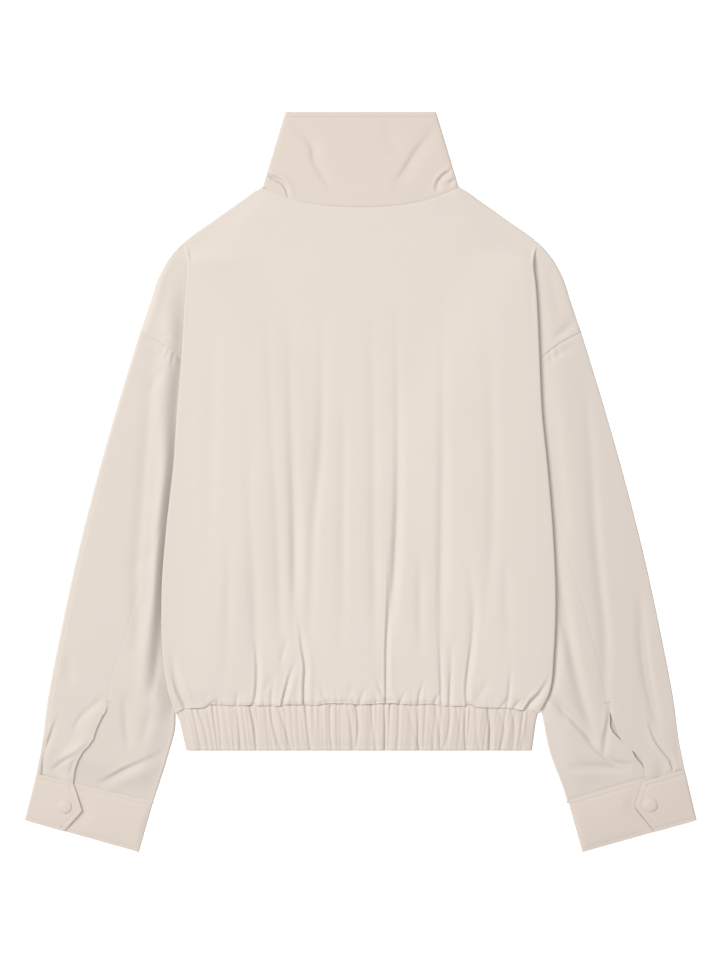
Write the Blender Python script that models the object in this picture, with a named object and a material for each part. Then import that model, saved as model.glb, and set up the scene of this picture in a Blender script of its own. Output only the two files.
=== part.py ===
"""Utility jacket laid flat on its fronts, back up. Metres, +Z up, +Y towards the collar."""
import bmesh
import bpy
import numpy as np
from math import cos, pi, sin

MM = 0.001

# Driving dimensions
WALL = 1.2 * MM                 # cloth thickness
SEAM = 0.35 * MM                # gap left between sewn pieces
FLOOR_LAYER = 0.6 * MM          # middle of the cloth that lies on the surface
SECOND_LAYER = 2.7 * MM         # sleeve backs and the drop shoulders
THIRD_LAYER = 4.9 * MM          # cloth folded under the side edge
EDGE_LEVEL = 1.85 * MM          # the back's shoulder edge, turned down to the front's edge
BACK_LEVEL = 4.6 * MM           # middle of the back
OVERLAP_LEVEL = 2.3 * MM        # the inner front where the fronts overlap
FRONT_OVERLAP = 15 * MM         # each front passes the centre by this
SIDE_ROLL = 1.4 * MM            # bend radius of the body's side edge
INNER_FOLD_X = 96 * MM          # inner end of the hidden fold, beside the underarm
FOLD_START_X = 190 * MM         # outer end of the hidden fold, just below the shoulder line
FOLD_START_Y = 240 * MM
ARMHOLE_GAP = 0.9 * MM          # a curved seam needs a wider gap between its straight facets
INNER_ROLL = 1.1 * MM           # bend radius of the hidden inner fold
EDGE_BEND = 1.15 * MM           # width of the drop shoulder's turned-down edge
EDGE_DIP = 0.4 * MM             # and how far it has come down at most of that width
FRONT_LIP = 7 * MM              # width of a front's edge that climbs to the side seam
SIDE_SEAM_GAP = 2.2 * MM        # between that edge and the turned-under back
CROWN = 2.2 * MM                # swell of a sleeve's back where it shows
HEM_SWELL = 0.8 * MM            # swell of the back above the hem band
BAND_LEVEL = 5.0 * MM           # middle of the hem band's back
BAND_PUFF = 0.5 * MM            # swell of the band between its long edges
UNDER_RIDGE = 0.9 * MM          # height of the gathers on the band's hidden side
COLLAR_LEVEL = 4.2 * MM         # collar's back at its side folds
COLLAR_CROWN = 0.9 * MM         # swell of the collar's back at its middle
COLLAR_FRONT_GAP = 1.2 * MM     # collar to the fronts' curved neck seam
COLLAR_DIP = 22 * MM            # the collar's front edge sinks by this at the centre
CUFF_LAP_LEVEL = 4.5 * MM       # outer layer of a cuff, with the pointed tab
CUFF_WIDTH = 130 * MM
SLIT_LAP = 0.03                 # slit overlap or opening, as a share of the sleeve's width
SLIT_LIFT = 1.8 * MM            # the upper flap of the left slit
HEM_SEAM_Y = -245 * MM          # seam between the body and the hem band
HEM_Y = -295 * MM               # lower edge of the hem band
COLLAR_TOP_Y = 407.3 * MM
SHOULDER_Y = 263 * MM           # where the side edge leaves the shoulder line
DROP_Y = 165 * MM               # outer end of the armhole seam
UNDERARM_Y = 50 * MM            # inner end of the armhole seam
BUTTON_RADIUS = 7.4 * MM
BUTTON_HEIGHT = 2.6 * MM


def table(names, rows):
    """Rows of sizes in millimetres, as one array in metres for each named column."""
    values = np.array(rows, dtype=float) * MM
    return {name: values[:, column] for column, name in enumerate(names.split())}


def curve(at, where, what):
    """Smooth curve through a table's points: cubic pieces with limited slopes."""
    order = np.argsort(where)
    x, y = np.asarray(where)[order], np.asarray(what)[order]
    slope = np.diff(y) / np.diff(x)
    tangent = np.concatenate([slope[:1], (slope[1:] + slope[:-1]) / 2, slope[-1:]])
    flat = np.concatenate([[False], slope[1:] * slope[:-1] <= 0, [False]])
    tangent[flat] = 0
    at = np.clip(np.asarray(at, dtype=float), x[0], x[-1])
    i = np.clip(np.searchsorted(x, at, side="right") - 1, 0, len(x) - 2)
    width = x[i + 1] - x[i]
    t = (at - x[i]) / width
    return ((2 * t**3 - 3 * t**2 + 1) * y[i] + (t**3 - 2 * t**2 + t) * width * tangent[i]
            + (3 * t**2 - 2 * t**3) * y[i + 1] + (t**3 - t**2) * width * tangent[i + 1])


def ease(t):
    """0 below 0, 1 above 1, smooth between."""
    t = np.clip(t, 0, 1)
    return t * t * (3 - 2 * t)


# Outline of the shoulders and of the sleeves' outer edges, half widths
SHOULDER = table("y x", (
    (325, 108), (321, 116), (310, 131.5), (288, 162.5), (266, 193), (255, 204), (244, 212.5),
    (222, 224), (200, 231), (165, 243)))
SLEEVE_OUTER = table("y x", (
    (165, 243), (134, 252.5), (90, 266), (2, 291), (-85, 313), (-174, 332), (-240, 344.5),
    (-286, 350.5), (-320.4, 357)))
SLEEVE_INNER = table("y left right", (
    (50, 110, 110), (-222, 199, 193), (-235, 203.5, 197), (-254, 206.5, 199.5),
    (-266, 207.5, 201.5), (-295, 213, 207.5), (-338, 226, 223), (-351.2, 229, 227)))
# Side edge of the body, where the cloth folds under
SIDE_FOLD = table("y left right", (
    (263, 194, 194), (240, 190.5, 190.5), (218, 192, 192), (189, 194, 194), (131, 197.5, 197.5),
    (77, 202, 200), (21, 205.7, 205.7), (-54, 214, 212), (-130, 219, 215), (-185, 218, 213),
    (-222, 212, 208.5), (-245, 204, 197)))
# Armhole seam from the shoulder line to the underarm
ARMHOLE = table("y x", (
    (165, 243), (160, 232), (150, 215), (139.5, 202), (104, 167), (77, 138), (50, 108)))
# Side seam, under the side edge, from the underarm to the hem
SIDE_SEAM = table("y left right", (
    (50, 96, 96), (-100, 153, 150), (-200, 184, 179), (-235, 195.5, 188.5), (-245, 197.5, 190)))
NECK = table("x y", ((0, 302.8), (40, 305), (80, 312.5), (108, 324)))
FRONT_NECK = table("x y", ((0, 270), (35, 273), (70, 288), (95, 308), (108, 323)))
# Long soft flutes of the back: place below the shoulders and at the hem, depth, half width
FLUTES = table("top low depth width", (
    (-133, -118, 0.9, 10), (-104, -91, 0.5, 8), (-84, -76, 1.1, 8), (-49, -58, 0.8, 9),
    (-25, -31, 0.4, 8), (6, 11, 0.5, 9), (28, 29, 0.9, 8), (83, 83, 1.0, 11),
    (135, 122, 0.7, 10), (-168, -148, 0.5, 11), (162, 160, 0.5, 11)))
# Gathers at the hem band: place, depth, height that the crease climbs above the seam, lean
GATHERS = table("x depth rise lean", (
    (-185, .8, 50, -20), (-170, .8, 8, 0), (-158, .9, 8, 2), (-152, .9, 8, -2),
    (-138, .7, 17, 2), (-131, 1.0, 15, 1), (-120, .7, 8, 0), (-115, 1.5, 66, 2),
    (-106, .5, 8, 0), (-97, .9, 35, 7), (-84, .9, 50, 16), (-77, .8, 10, 2),
    (-70, .4, 8, 0), (-57, 1.6, 70, -3), (-51, .5, 8, 0), (-43, .4, 8, 0),
    (-34, .8, 15, -3), (-26, .4, 8, 0), (-19, .5, 8, 0), (-8, .8, 8, 2),
    (-1, 1.2, 15, 4), (13, .9, 8, 0), (18, .9, 9, -2), (28, 1.0, 34, -9),
    (33, .9, 200, -1), (43, .6, 9, 4), (57, .5, 8, 0), (65, 1.2, 26, 7),
    (72, .4, 8, 0), (83, .8, 12, 4), (90, 1.0, 70, -2), (99, .9, 43, 2),
    (112, .5, 8, 0), (118, 1.2, 66, 4), (125, .5, 8, 0), (141, .5, 8, 0),
    (146, 1.4, 30, 3), (161, 1.3, 44, 5), (172, .8, 11, 5), (180, .8, 10, 4),
    (185, 1.0, 35, 20)))
FRONT_GATHER_STEP = 9 * MM      # spacing of the gathers on the band's hidden side
# Back seam of each sleeve: along the sleeve (0 armhole, 1 cuff) against across it (0 outer edge)
SEAM_ALONG = np.array([0, .305, .57, .79, .865, .915, .95, 1])
SEAM_ACROSS = {"left": np.array([.53, .54, .49, .41, .39, .365, .32, .307]),
               "right": np.array([.53, .54, .49, .44, .43, .40, .35, .32])}
SLIT_TOP = 0.79                 # where the slit in that seam starts, along the sleeve
FRONT_SEAM_ACROSS = 0.45        # hidden front seam of each sleeve
# Tucks above the cuffs: across the sleeve, start along it, depth in millimetres
TUCKS = {"left": ((0.14, 0.80, 1.2), (0.72, 0.93, 1.0)),
         "right": ((0.16, 0.84, 1.2), (0.66, 0.9, 1.3))}
TUCK_WIDTH = 0.035
# Half widths of the hem band, corners of a cuff, half widths of the collar
BAND_TOP_HALF = {"left": 203 * MM, "right": 195.5 * MM}
BAND_LOW_HALF = {"left": 192 * MM, "right": 188.5 * MM}
CUFF_CORNERS = {"outer_top": (357, -320.4), "inner_top": (228, -351.2),
                "outer_low": (370, -372), "inner_low": (244, -407.3)}
COLLAR_HALF = {"low": 108.3 * MM, "top": 83.2 * MM}
# Pointed end of a cuff's tab: down the cuff (0 seam, 1 edge) against across it (0 outer edge)
TAB = {"left": ((0, .31), (.33, .375), (.56, .455), (.62, .455), (.8, .385), (1, .31)),
       "right": ((0, .335), (.33, .375), (.56, .44), (.62, .44), (.8, .37), (1, .30))}
BUTTON_PLACE = {"left": (-325, -357.5), "right": (319.2, -356.5)}
# Turned profile of a button, as shares of its radius and height
BUTTON_PROFILE = ((0, 0), (0.88, 0), (1.0, 0.25), (1.0, 0.5), (0.93, 0.78), (0.75, 0.93),
                  (0.4, 1.0), (0, 1.0))


def material(name, colour, roughness):
    shader = bpy.data.materials.new(name)
    shader.use_nodes = True
    principled = shader.node_tree.nodes["Principled BSDF"]
    principled.inputs["Base Color"].default_value = (*colour, 1)
    principled.inputs["Roughness"].default_value = roughness
    principled.inputs["Metallic"].default_value = 0
    return shader


def new_object(name, mesh, shader):
    piece = bpy.data.objects.new(name, mesh)
    bpy.context.scene.collection.objects.link(piece)
    mesh.materials.append(shader)
    return piece


def cloth(name, points, shader, present=None, mirror_from=None):
    """A cloth piece: a grid of points in the middle of the wall, thickened evenly to both sides.

    From the column mirror_from on, the faces' diagonals mirror those before it.
    """
    rows, columns = points.shape[:2]
    index = np.arange(rows * columns).reshape(rows, columns)
    cells = np.stack([index[:-1, :-1], index[1:, :-1], index[1:, 1:], index[:-1, 1:]], axis=-1)
    if mirror_from is not None:
        cells[:, mirror_from:] = np.roll(cells[:, mirror_from:], -1, axis=-1)
    if present is None:
        present = np.ones((rows - 1, columns - 1), dtype=bool)
    mesh = bpy.data.meshes.new(name)
    mesh.from_pydata(points.reshape(-1, 3).tolist(), [], cells[present].tolist())
    shape = bmesh.new()
    shape.from_mesh(mesh)
    bmesh.ops.delete(shape, geom=[v for v in shape.verts if not v.link_faces], context="VERTS")
    bmesh.ops.remove_doubles(shape, verts=shape.verts, dist=0.02 * MM)
    shape.to_mesh(mesh)
    shape.free()
    mesh.shade_smooth()
    piece = new_object(name, mesh, shader)
    wall = piece.modifiers.new("Wall", "SOLIDIFY")
    wall.thickness = WALL
    wall.offset = 0
    wall.use_even_offset = True
    return piece


def gather_wave(x):
    """Rounded ridges between the band's creases, higher where the creases are further apart."""
    creases = np.concatenate([[-200 * MM], GATHERS["x"], [200 * MM]])
    depth = np.concatenate([[0.5 * MM], GATHERS["depth"], [0.5 * MM]])
    i = np.clip(np.searchsorted(creases, x, side="right") - 1, 0, len(creases) - 2)
    width = creases[i + 1] - creases[i]
    t = np.clip((x - creases[i]) / width, 0, 1)
    ridge = np.minimum(0.17 * width, 1.5 * MM) * np.sin(pi * t) ** 0.8
    return ridge - ((1 - t) * depth[i] + t * depth[i + 1]) * 0.6 * np.abs(2 * t - 1) ** 2


def gather_columns(per_gather, narrowest=0.0):
    """Places across the band: each crease, and points to the next one where that isn't too near."""
    creases = GATHERS["x"]
    wide = np.diff(creases) > narrowest
    steps = [(creases[:-1] + np.diff(creases) * part / per_gather)[wide] for part in range(1, per_gather)]
    return np.sort(np.concatenate(steps + [creases]))


def back_height(x, y):
    """Middle of the back's top layer: level over the middle, raised over the folded cloth."""
    seam = np.where(x < 0, curve(y, SIDE_SEAM["y"], SIDE_SEAM["left"]),
                    curve(y, SIDE_SEAM["y"], SIDE_SEAM["right"]))
    inner = np.where(y > UNDERARM_Y, inner_fold(y), seam)
    reach = np.where(x < 0, side_reach(y, "left"), side_reach(y, "right"))
    top = fold_section(y, reach)[3]
    raised = ease((np.abs(x) - inner + 45 * MM) / (42 * MM))
    height = BACK_LEVEL + (top - BACK_LEVEL) * raised
    height += HEM_SWELL * ease((HEM_SEAM_Y + 100 * MM - y) / (60 * MM)) * (1 - raised)
    fall = np.clip((300 * MM - y) / (545 * MM), 0, 1)
    shoulder_fade = ease((250 * MM - y) / (130 * MM))
    for top_x, low_x, depth, width in zip(*(FLUTES[key] for key in ("top", "low", "depth", "width"))):
        middle = top_x + (low_x - top_x) * fall
        height -= depth * shoulder_fade * np.exp(-((x - middle) / width) ** 2) * (1 - 0.4 * raised)
        height += 0.5 * depth * shoulder_fade * np.exp(-((x - middle - 2 * width) / width) ** 2)
    above = y - HEM_SEAM_Y
    near = np.exp(-np.maximum(above, 0) / (13 * MM))
    for place, depth, rise, lean in zip(*(GATHERS[key] for key in ("x", "depth", "rise", "lean"))):
        if rise < 20 * MM:
            continue
        middle = place * 1.02 + lean * np.clip(above / rise, 0, 2)
        fade = (1 - ease(above / (1.15 * rise))) * (1 - near)
        width = 4 * MM + 0.06 * above
        height -= 1.1 * depth * fade * np.exp(-((x - middle) / width) ** 2) * (1 - 0.4 * raised)
    edge = ease((np.abs(x) - reach + 14 * MM) / (11 * MM))
    at_seam = (BAND_LEVEL + gather_wave(x)) * (1 - edge) + top * edge
    return height * (1 - near) + at_seam * near


def third_layer(y):
    """Level of the cloth folded under the side edge: it comes down beside the hem band."""
    return THIRD_LAYER - 1.7 * MM * ease((-226 * MM - y) / (22 * MM))


def inner_fold(y):
    """Place of the hidden fold line, from the shoulder line to the underarm."""
    share = np.clip((y - UNDERARM_Y) / (FOLD_START_Y - UNDERARM_Y), 0, 1)
    return INNER_FOLD_X + (FOLD_START_X - INNER_FOLD_X) * share


def fold_section(y, reach):
    """The Z-shaped side fold at a height: turn angle, start, straight length and top level."""
    angle = pi * ease((SHOULDER_Y - y) / (32 * MM))
    start = reach - SIDE_ROLL * np.sin(np.minimum(angle, pi / 2))
    length = np.maximum(np.where(angle > pi / 2, start - inner_fold(y), 0), 1.5 * MM)
    shoulder = SECOND_LAYER + (SIDE_ROLL + INNER_ROLL) * (1 - np.cos(angle)) + length * np.sin(angle)
    top = np.where(y >= UNDERARM_Y, shoulder, third_layer(y) + 2 * SIDE_ROLL)
    return angle, start, length, top


def side_reach(y, side):
    """Middle of the wall at the side edge."""
    return curve(y, SIDE_FOLD["y"], SIDE_FOLD[side]) - WALL / 2


def side_of_back(side, stations):
    """Columns beyond the side edge: first turn, cloth folded under, second turn, drop shoulder."""
    turn = np.linspace(0, 1, 5)
    drop_steps = (.3, .6, .85)
    rows = []
    for y in stations:
        reach = float(side_reach(y, side))
        angle, start, length, top = (float(value) for value in fold_section(y, reach))
        if y < UNDERARM_Y:
            seam = float(curve(y, SIDE_SEAM["y"], SIDE_SEAM[side]))
            length = max(start - seam - SEAM, 2 * MM)
        section = [(start + SIDE_ROLL * sin(angle * t), top - SIDE_ROLL * (1 - cos(angle * t)))
                   for t in turn[1:]]
        x, z = section[-1]
        for part in (1 / 3, 2 / 3, 1):
            section.append((x + length * part * cos(angle), z - length * part * sin(angle)))
        x, z = section[-1]
        for t in turn[1:]:
            bend = angle * (1 - t)
            section.append((x + INNER_ROLL * (sin(angle) - sin(bend)),
                            z - INNER_ROLL * (cos(bend) - cos(angle))))
        x, z = section[-1]
        if y > DROP_Y + MM:
            edge = float(curve(y, SHOULDER["y"], SHOULDER["x"])) - WALL / 2
            bend = EDGE_BEND
            edge_z = EDGE_LEVEL
        else:
            edge = float(curve(y, ARMHOLE["y"], ARMHOLE["x"])) - SEAM
            bend = min(EDGE_BEND, (edge - x) * 0.3)
            edge_z = z
        flat_edge = edge - bend
        for part in drop_steps:
            section.append((x + (flat_edge - x) * part, z))
        section.append((flat_edge, z))
        section.append((flat_edge + bend * 0.7, z - min(EDGE_DIP, z - edge_z)))
        section.append((edge, edge_z))
        rows.append([(at_x, y, at_z) for at_x, at_z in section])
    return np.array(rows)


def back_panel(shader):
    """Columns run down from the neck and shoulder line to the hem; the side folds go on beyond."""
    stations = np.array([263, 254, 245, 236, 224, 200, 165, 159, 149, 134, 95, 50,
                         0, -70, -130, -180, -208, -226, -237, -245]) * MM
    stations[-1] = HEM_SEAM_Y + SEAM / 2
    places = gather_columns(2, 8.5 * MM)
    hem_half = np.where(places < 0, BAND_TOP_HALF["left"], BAND_TOP_HALF["right"])
    across = np.concatenate([[-1, -0.965], places / hem_half, [0.965, 1]])
    line_x = np.abs(across) * SIDE_FOLD["left"][0]
    line_y = np.where(line_x < NECK["x"][-1], curve(line_x, NECK["x"], NECK["y"]),
                      curve(line_x, SHOULDER["x"], SHOULDER["y"]))
    on_shoulder = line_x > NECK["x"][-1] + 2 * MM
    line_y = line_y - np.where(on_shoulder, WALL / 2, SEAM + WALL / 2)
    edge_steps = (0, 0.45 * MM, 1.2 * MM)
    edge_levels = (EDGE_LEVEL, SECOND_LAYER - 0.35 * MM)
    rows = []
    for i in range(len(stations) + 2):
        y_side = stations[max(i - 2, 0)]
        part = (SHOULDER_Y - y_side) / (SHOULDER_Y - stations[-1])
        y = line_y - edge_steps[min(i, 2)]
        y = y + (stations[-1] - y) * part ** 1.25
        at_side = ease((np.abs(across) - 0.75) / 0.25) * (i > 1)
        y = y + at_side * (y_side + (line_y - line_y[0]) * (1 - part) - y)
        reach = np.where(across < 0, side_reach(y_side, "left"), side_reach(y_side, "right"))
        start = fold_section(y_side, reach)[1]
        x = across * start
        z = back_height(x, y)
        near_line = ease((line_y - y) / (28 * MM))
        z = np.where(on_shoulder, SECOND_LAYER + (z - SECOND_LAYER) * near_line, z)
        if i < 2:
            z = np.where(on_shoulder, edge_levels[i], z)
        else:
            top = fold_section(y_side, reach)[3]
            z = np.where(np.abs(across) == 1, top, z)
        rows.append(np.stack([x, y, z], axis=-1))
    body = np.array(rows)
    left = side_of_back("left", stations)
    right = side_of_back("right", stations)
    beyond = left.shape[1]
    left = left[:, ::-1] * (-1, 1, 1)
    blank = np.zeros((2, beyond, 3))
    full = np.concatenate([np.concatenate([blank, left]), body, np.concatenate([blank, right])], axis=1)
    # the row at the shoulder line gathers to the point where the fold starts
    last = full.shape[1] - 1
    for column in range(beyond):
        full[2, column] = body[min(column, 2), 0]
        full[2, last - column] = body[min(column, 2), -1]
    present = np.ones((full.shape[0] - 1, last), dtype=bool)
    present[:2, :beyond] = False
    present[:2, last - beyond:] = False
    below = np.nonzero(stations < UNDERARM_Y + MM)[0][0] + 2
    drop_columns = beyond - 7
    present[below:, :drop_columns] = False
    present[below:, last - drop_columns:] = False
    return cloth("back_panel", full, shader, present, last // 2)


def front_edge(y, side):
    """Outer boundary of a front: shoulder line, armhole seam, then side seam."""
    if y > DROP_Y:
        return float(curve(y, SHOULDER["y"], SHOULDER["x"])) - WALL / 2
    if y >= UNDERARM_Y:
        return float(curve(y, ARMHOLE["y"], ARMHOLE["x"])) - SEAM
    return float(curve(y, SIDE_SEAM["y"], SIDE_SEAM[side])) - SIDE_SEAM_GAP


def front(side, shader):
    """Rows from the neck to the hem; the outer edge climbs over the sleeve to the side seam."""
    stations = np.array([316, 300, 284, 274, 266, 225, 165.1, 159, 149, 134, 95, 50,
                         32, 0, -70, -140, -200, -226, -237, -245]) * MM
    stations[-1] = HEM_SEAM_Y + SEAM / 2
    rows = []
    for y in stations:
        outer = front_edge(y, side)
        inner = -FRONT_OVERLAP
        if y > FRONT_NECK["y"][0]:
            inner = float(curve(y, FRONT_NECK["y"], FRONT_NECK["x"])) + SEAM
        lift = float(ease((UNDERARM_Y - y) / (30 * MM))) * (float(third_layer(y)) - FLOOR_LAYER)
        lip = min(FRONT_LIP, 0.3 * (outer - inner))
        flat = outer - lip
        if inner > 0:
            knots = [inner, inner + 4 * MM, inner + 8 * MM]
            levels = [FLOOR_LAYER] * 3
        elif side == "left":
            knots = [inner, 18 * MM, 24 * MM]
            levels = [OVERLAP_LEVEL, OVERLAP_LEVEL, FLOOR_LAYER]
        else:
            knots = [inner, 0.0, FRONT_OVERLAP]
            levels = [FLOOR_LAYER] * 3
        last = knots[-1]
        for part in (.35, .7, 1):
            knots.append(last + (flat - last) * part)
            levels.append(FLOOR_LAYER)
        for part, height in ((.35, .12), (.7, .8), (1, 1)):
            knots.append(flat + lip * part)
            levels.append(FLOOR_LAYER + lift * height)
        rows.append([(x, y, z) for x, z in zip(knots, levels)])
    points = np.array(rows)
    if side == "left":
        points[..., 0] *= -1
    else:
        points = points[:, ::-1]
    return cloth("front_" + side, points, shader)


def armhole_point(across):
    """Point on the armhole seam, by its share from the shoulder line to the underarm."""
    y = DROP_Y + (UNDERARM_Y - DROP_Y) * across
    return curve(y, ARMHOLE["y"], ARMHOLE["x"]), y


def sleeve_plan(side, along, across):
    """Place on a sleeve: straight across between its edges, bowed to the armhole seam at its top."""
    cuff_outer, cuff_inner = SLEEVE_OUTER["y"][-1], SLEEVE_INNER["y"][-1]
    outer_y = DROP_Y + (cuff_outer - DROP_Y) * along
    inner_y = UNDERARM_Y + (cuff_inner - UNDERARM_Y) * along
    outer_x = curve(outer_y, SLEEVE_OUTER["y"], SLEEVE_OUTER["x"])
    inner_x = curve(inner_y, SLEEVE_INNER["y"], SLEEVE_INNER[side])
    seam_x, seam_y = armhole_point(across)
    line_x = SHOULDER["x"][-1] + (ARMHOLE["x"][-1] - SHOULDER["x"][-1]) * across
    bow = np.clip(1 - along / 0.5, 0, 1) ** 2
    x = outer_x + (inner_x - outer_x) * across + (seam_x - line_x) * bow
    y = outer_y + (inner_y - outer_y) * across
    return x, y


def sleeve_bulge(side, x, y, along):
    """Extra height of the sleeve's visible back: a soft crown that sinks at the body's edge."""
    fold = curve(y, SIDE_FOLD["y"], SIDE_FOLD[side])
    outer = curve(y, SLEEVE_OUTER["y"], SLEEVE_OUTER["x"])
    inner = curve(y, SLEEVE_INNER["y"], SLEEVE_INNER[side])
    beside = np.where(y < HEM_SEAM_Y - 5 * MM, inner + 3 * MM, np.maximum(fold, inner))
    shape = ease((x - beside - 4 * MM) / (26 * MM)) * ease((outer - x + 4 * MM) / (24 * MM))
    return CROWN * shape * ease((along - 0.02) / 0.15)


def sleeve_surface(side, along, across, lift):
    """Middle of the sleeve's back layer."""
    x, y = sleeve_plan(side, along, across)
    z = SECOND_LAYER + sleeve_bulge(side, x, y, along) + lift
    beside_hem = np.exp(-((y + 238 * MM) / (22 * MM)) ** 2) * ease((across - 0.75) / 0.15)
    z = z - 0.55 * MM * beside_hem
    for place, start, depth in TUCKS[side]:
        grown = ease((along - start) / (1 - start))
        z = z - depth * MM * grown * np.exp(-((across - place) / TUCK_WIDTH) ** 2)
    return x, y, z


def sleeve_half(side, kind, shader):
    """Rows across one half of a sleeve: back seam, edge of the sleeve, hidden front seam."""
    along = np.array([0, .03, .09, .19, .32, .45, .58, .70, .79, .85, .90, .94, .97, 1])
    edge_share = 0.0 if kind == "top" else 1.0
    outward = 1 if kind == "top" else -1
    gap = outward * SEAM / (125 * MM) / 2
    rows = []
    for v in along:
        seam = float(np.interp(v, SEAM_ALONG, SEAM_ACROSS[side])) - gap
        open_slit = float(ease((v - SLIT_TOP) / 0.05))
        lift = 0.0
        if kind == "top" and side == "left":
            seam += SLIT_LAP * open_slit
            lift = SLIT_LIFT * float(ease((v - SLIT_TOP + 0.09) / 0.08))
        if kind == "under" and side == "right":
            seam += SLIT_LAP * open_slit * (1 - 0.6 * float(ease((v - .9) / .1)))
        width = float(np.hypot(*np.subtract(sleeve_plan(side, v, 1.0), sleeve_plan(side, v, 0.0))))
        edge_x, edge_y = (float(value) for value in sleeve_plan(side, v, edge_share))
        edge_z = float(sleeve_surface(side, v, abs(edge_share - 4 * MM / width), 0.0)[2])
        radius = (edge_z - FLOOR_LAYER) / 2
        layer = np.linspace(seam, edge_share + outward * (radius + 2 * MM) / width, 7)
        lifted = lift * ease((layer - seam + 0.16) / 0.12)
        section = list(zip(*sleeve_surface(side, v, layer, lifted)))
        edge_x -= outward * WALL / 2
        for turn in np.linspace(0, pi, 5):
            section.append((edge_x - outward * radius * (1 - sin(turn)), edge_y,
                            FLOOR_LAYER + radius * (1 + cos(turn))))
        under = np.linspace(edge_share, FRONT_SEAM_ACROSS - gap, 4)[1:]
        section += [(x, y, FLOOR_LAYER) for x, y in zip(*sleeve_plan(side, v, under))]
        rows.append(section)
    points = np.array(rows)
    points[0, :, 1] -= ARMHOLE_GAP
    points[0, :, 0] += ARMHOLE_GAP / 3
    points[-1, :, 1] += SEAM * 0.7
    if side == "left":
        points[..., 0] *= -1
    if (side == "left") == (kind == "top"):
        points = points[:, ::-1]
    return cloth(f"sleeve_{kind}_{side}", points, shader)


def cuff_plan(down, across):
    """Place on a cuff: down from the sleeve seam (0) to the edge (1), across from the outer edge."""
    corners = {name: np.array(place) * MM for name, place in CUFF_CORNERS.items()}
    outer = corners["outer_top"] + (corners["outer_low"] - corners["outer_top"]) * down
    inner = corners["inner_top"] + (corners["inner_low"] - corners["inner_top"]) * down
    return outer + (inner - outer) * across


def cuff(side, shader):
    """One band: from the pointed tab outwards, round below, and back up under the tab."""
    tab = np.array(TAB[side])
    outer_roll = (CUFF_LAP_LEVEL - FLOOR_LAYER) / 2
    inner_roll = (SECOND_LAYER - FLOOR_LAYER) / 2
    rows = []
    for down in (0, .2, .4, .56, .62, .8, 1):
        tip = float(np.interp(down, tab[:, 0], tab[:, 1]))
        section = [(*cuff_plan(down, across), CUFF_LAP_LEVEL)
                   for across in np.linspace(tip, outer_roll / CUFF_WIDTH, 5)]
        edge = cuff_plan(down, 0.0)
        for turn in np.linspace(0, pi, 5)[1:]:
            x = edge[0] - WALL / 2 - outer_roll * (1 - sin(turn))
            section.append((x, edge[1], FLOOR_LAYER + outer_roll * (1 + cos(turn))))
        section += [(*cuff_plan(down, across), FLOOR_LAYER) for across in (.25, .5, .75)]
        edge = cuff_plan(down, 1.0)
        for turn in np.linspace(pi, 0, 5):
            x = edge[0] + WALL / 2 + inner_roll * (1 - sin(turn))
            section.append((x, edge[1], FLOOR_LAYER + inner_roll * (1 + cos(turn))))
        section += [(*cuff_plan(down, across), SECOND_LAYER) for across in (.8, .6, .4, .2, .08)]
        points = np.array(section)
        points[:, 1] += {0: -SEAM * 0.8, 1: WALL / 2}.get(down, 0)
        rows.append(points)
    points = np.array(rows)
    if side == "left":
        points[..., 0] *= -1
    else:
        points = points[:, ::-1]
    return cloth("cuff_" + side, points, shader)


def button(side, shader):
    """A covered button: a domed disc turned from its profile, lying on the tab."""
    base = CUFF_LAP_LEVEL + WALL / 2 + 0.3 * MM
    shape = bmesh.new()
    line = [shape.verts.new((r * BUTTON_RADIUS, 0, base + h * BUTTON_HEIGHT)) for r, h in BUTTON_PROFILE]
    edges = [shape.edges.new(pair) for pair in zip(line[:-1], line[1:])]
    bmesh.ops.spin(shape, geom=line + edges, cent=(0, 0, 0), axis=(0, 0, 1), angle=2 * pi,
                   steps=18, use_merge=True)
    bmesh.ops.remove_doubles(shape, verts=shape.verts, dist=0.01 * MM)
    bmesh.ops.recalc_face_normals(shape, faces=shape.faces)
    mesh = bpy.data.meshes.new("cuff_button_" + side)
    shape.to_mesh(mesh)
    shape.free()
    mesh.shade_smooth()
    piece = new_object("cuff_button_" + side, mesh, shader)
    x, y = BUTTON_PLACE[side]
    piece.location = (x * MM, y * MM, 0)
    return piece


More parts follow.
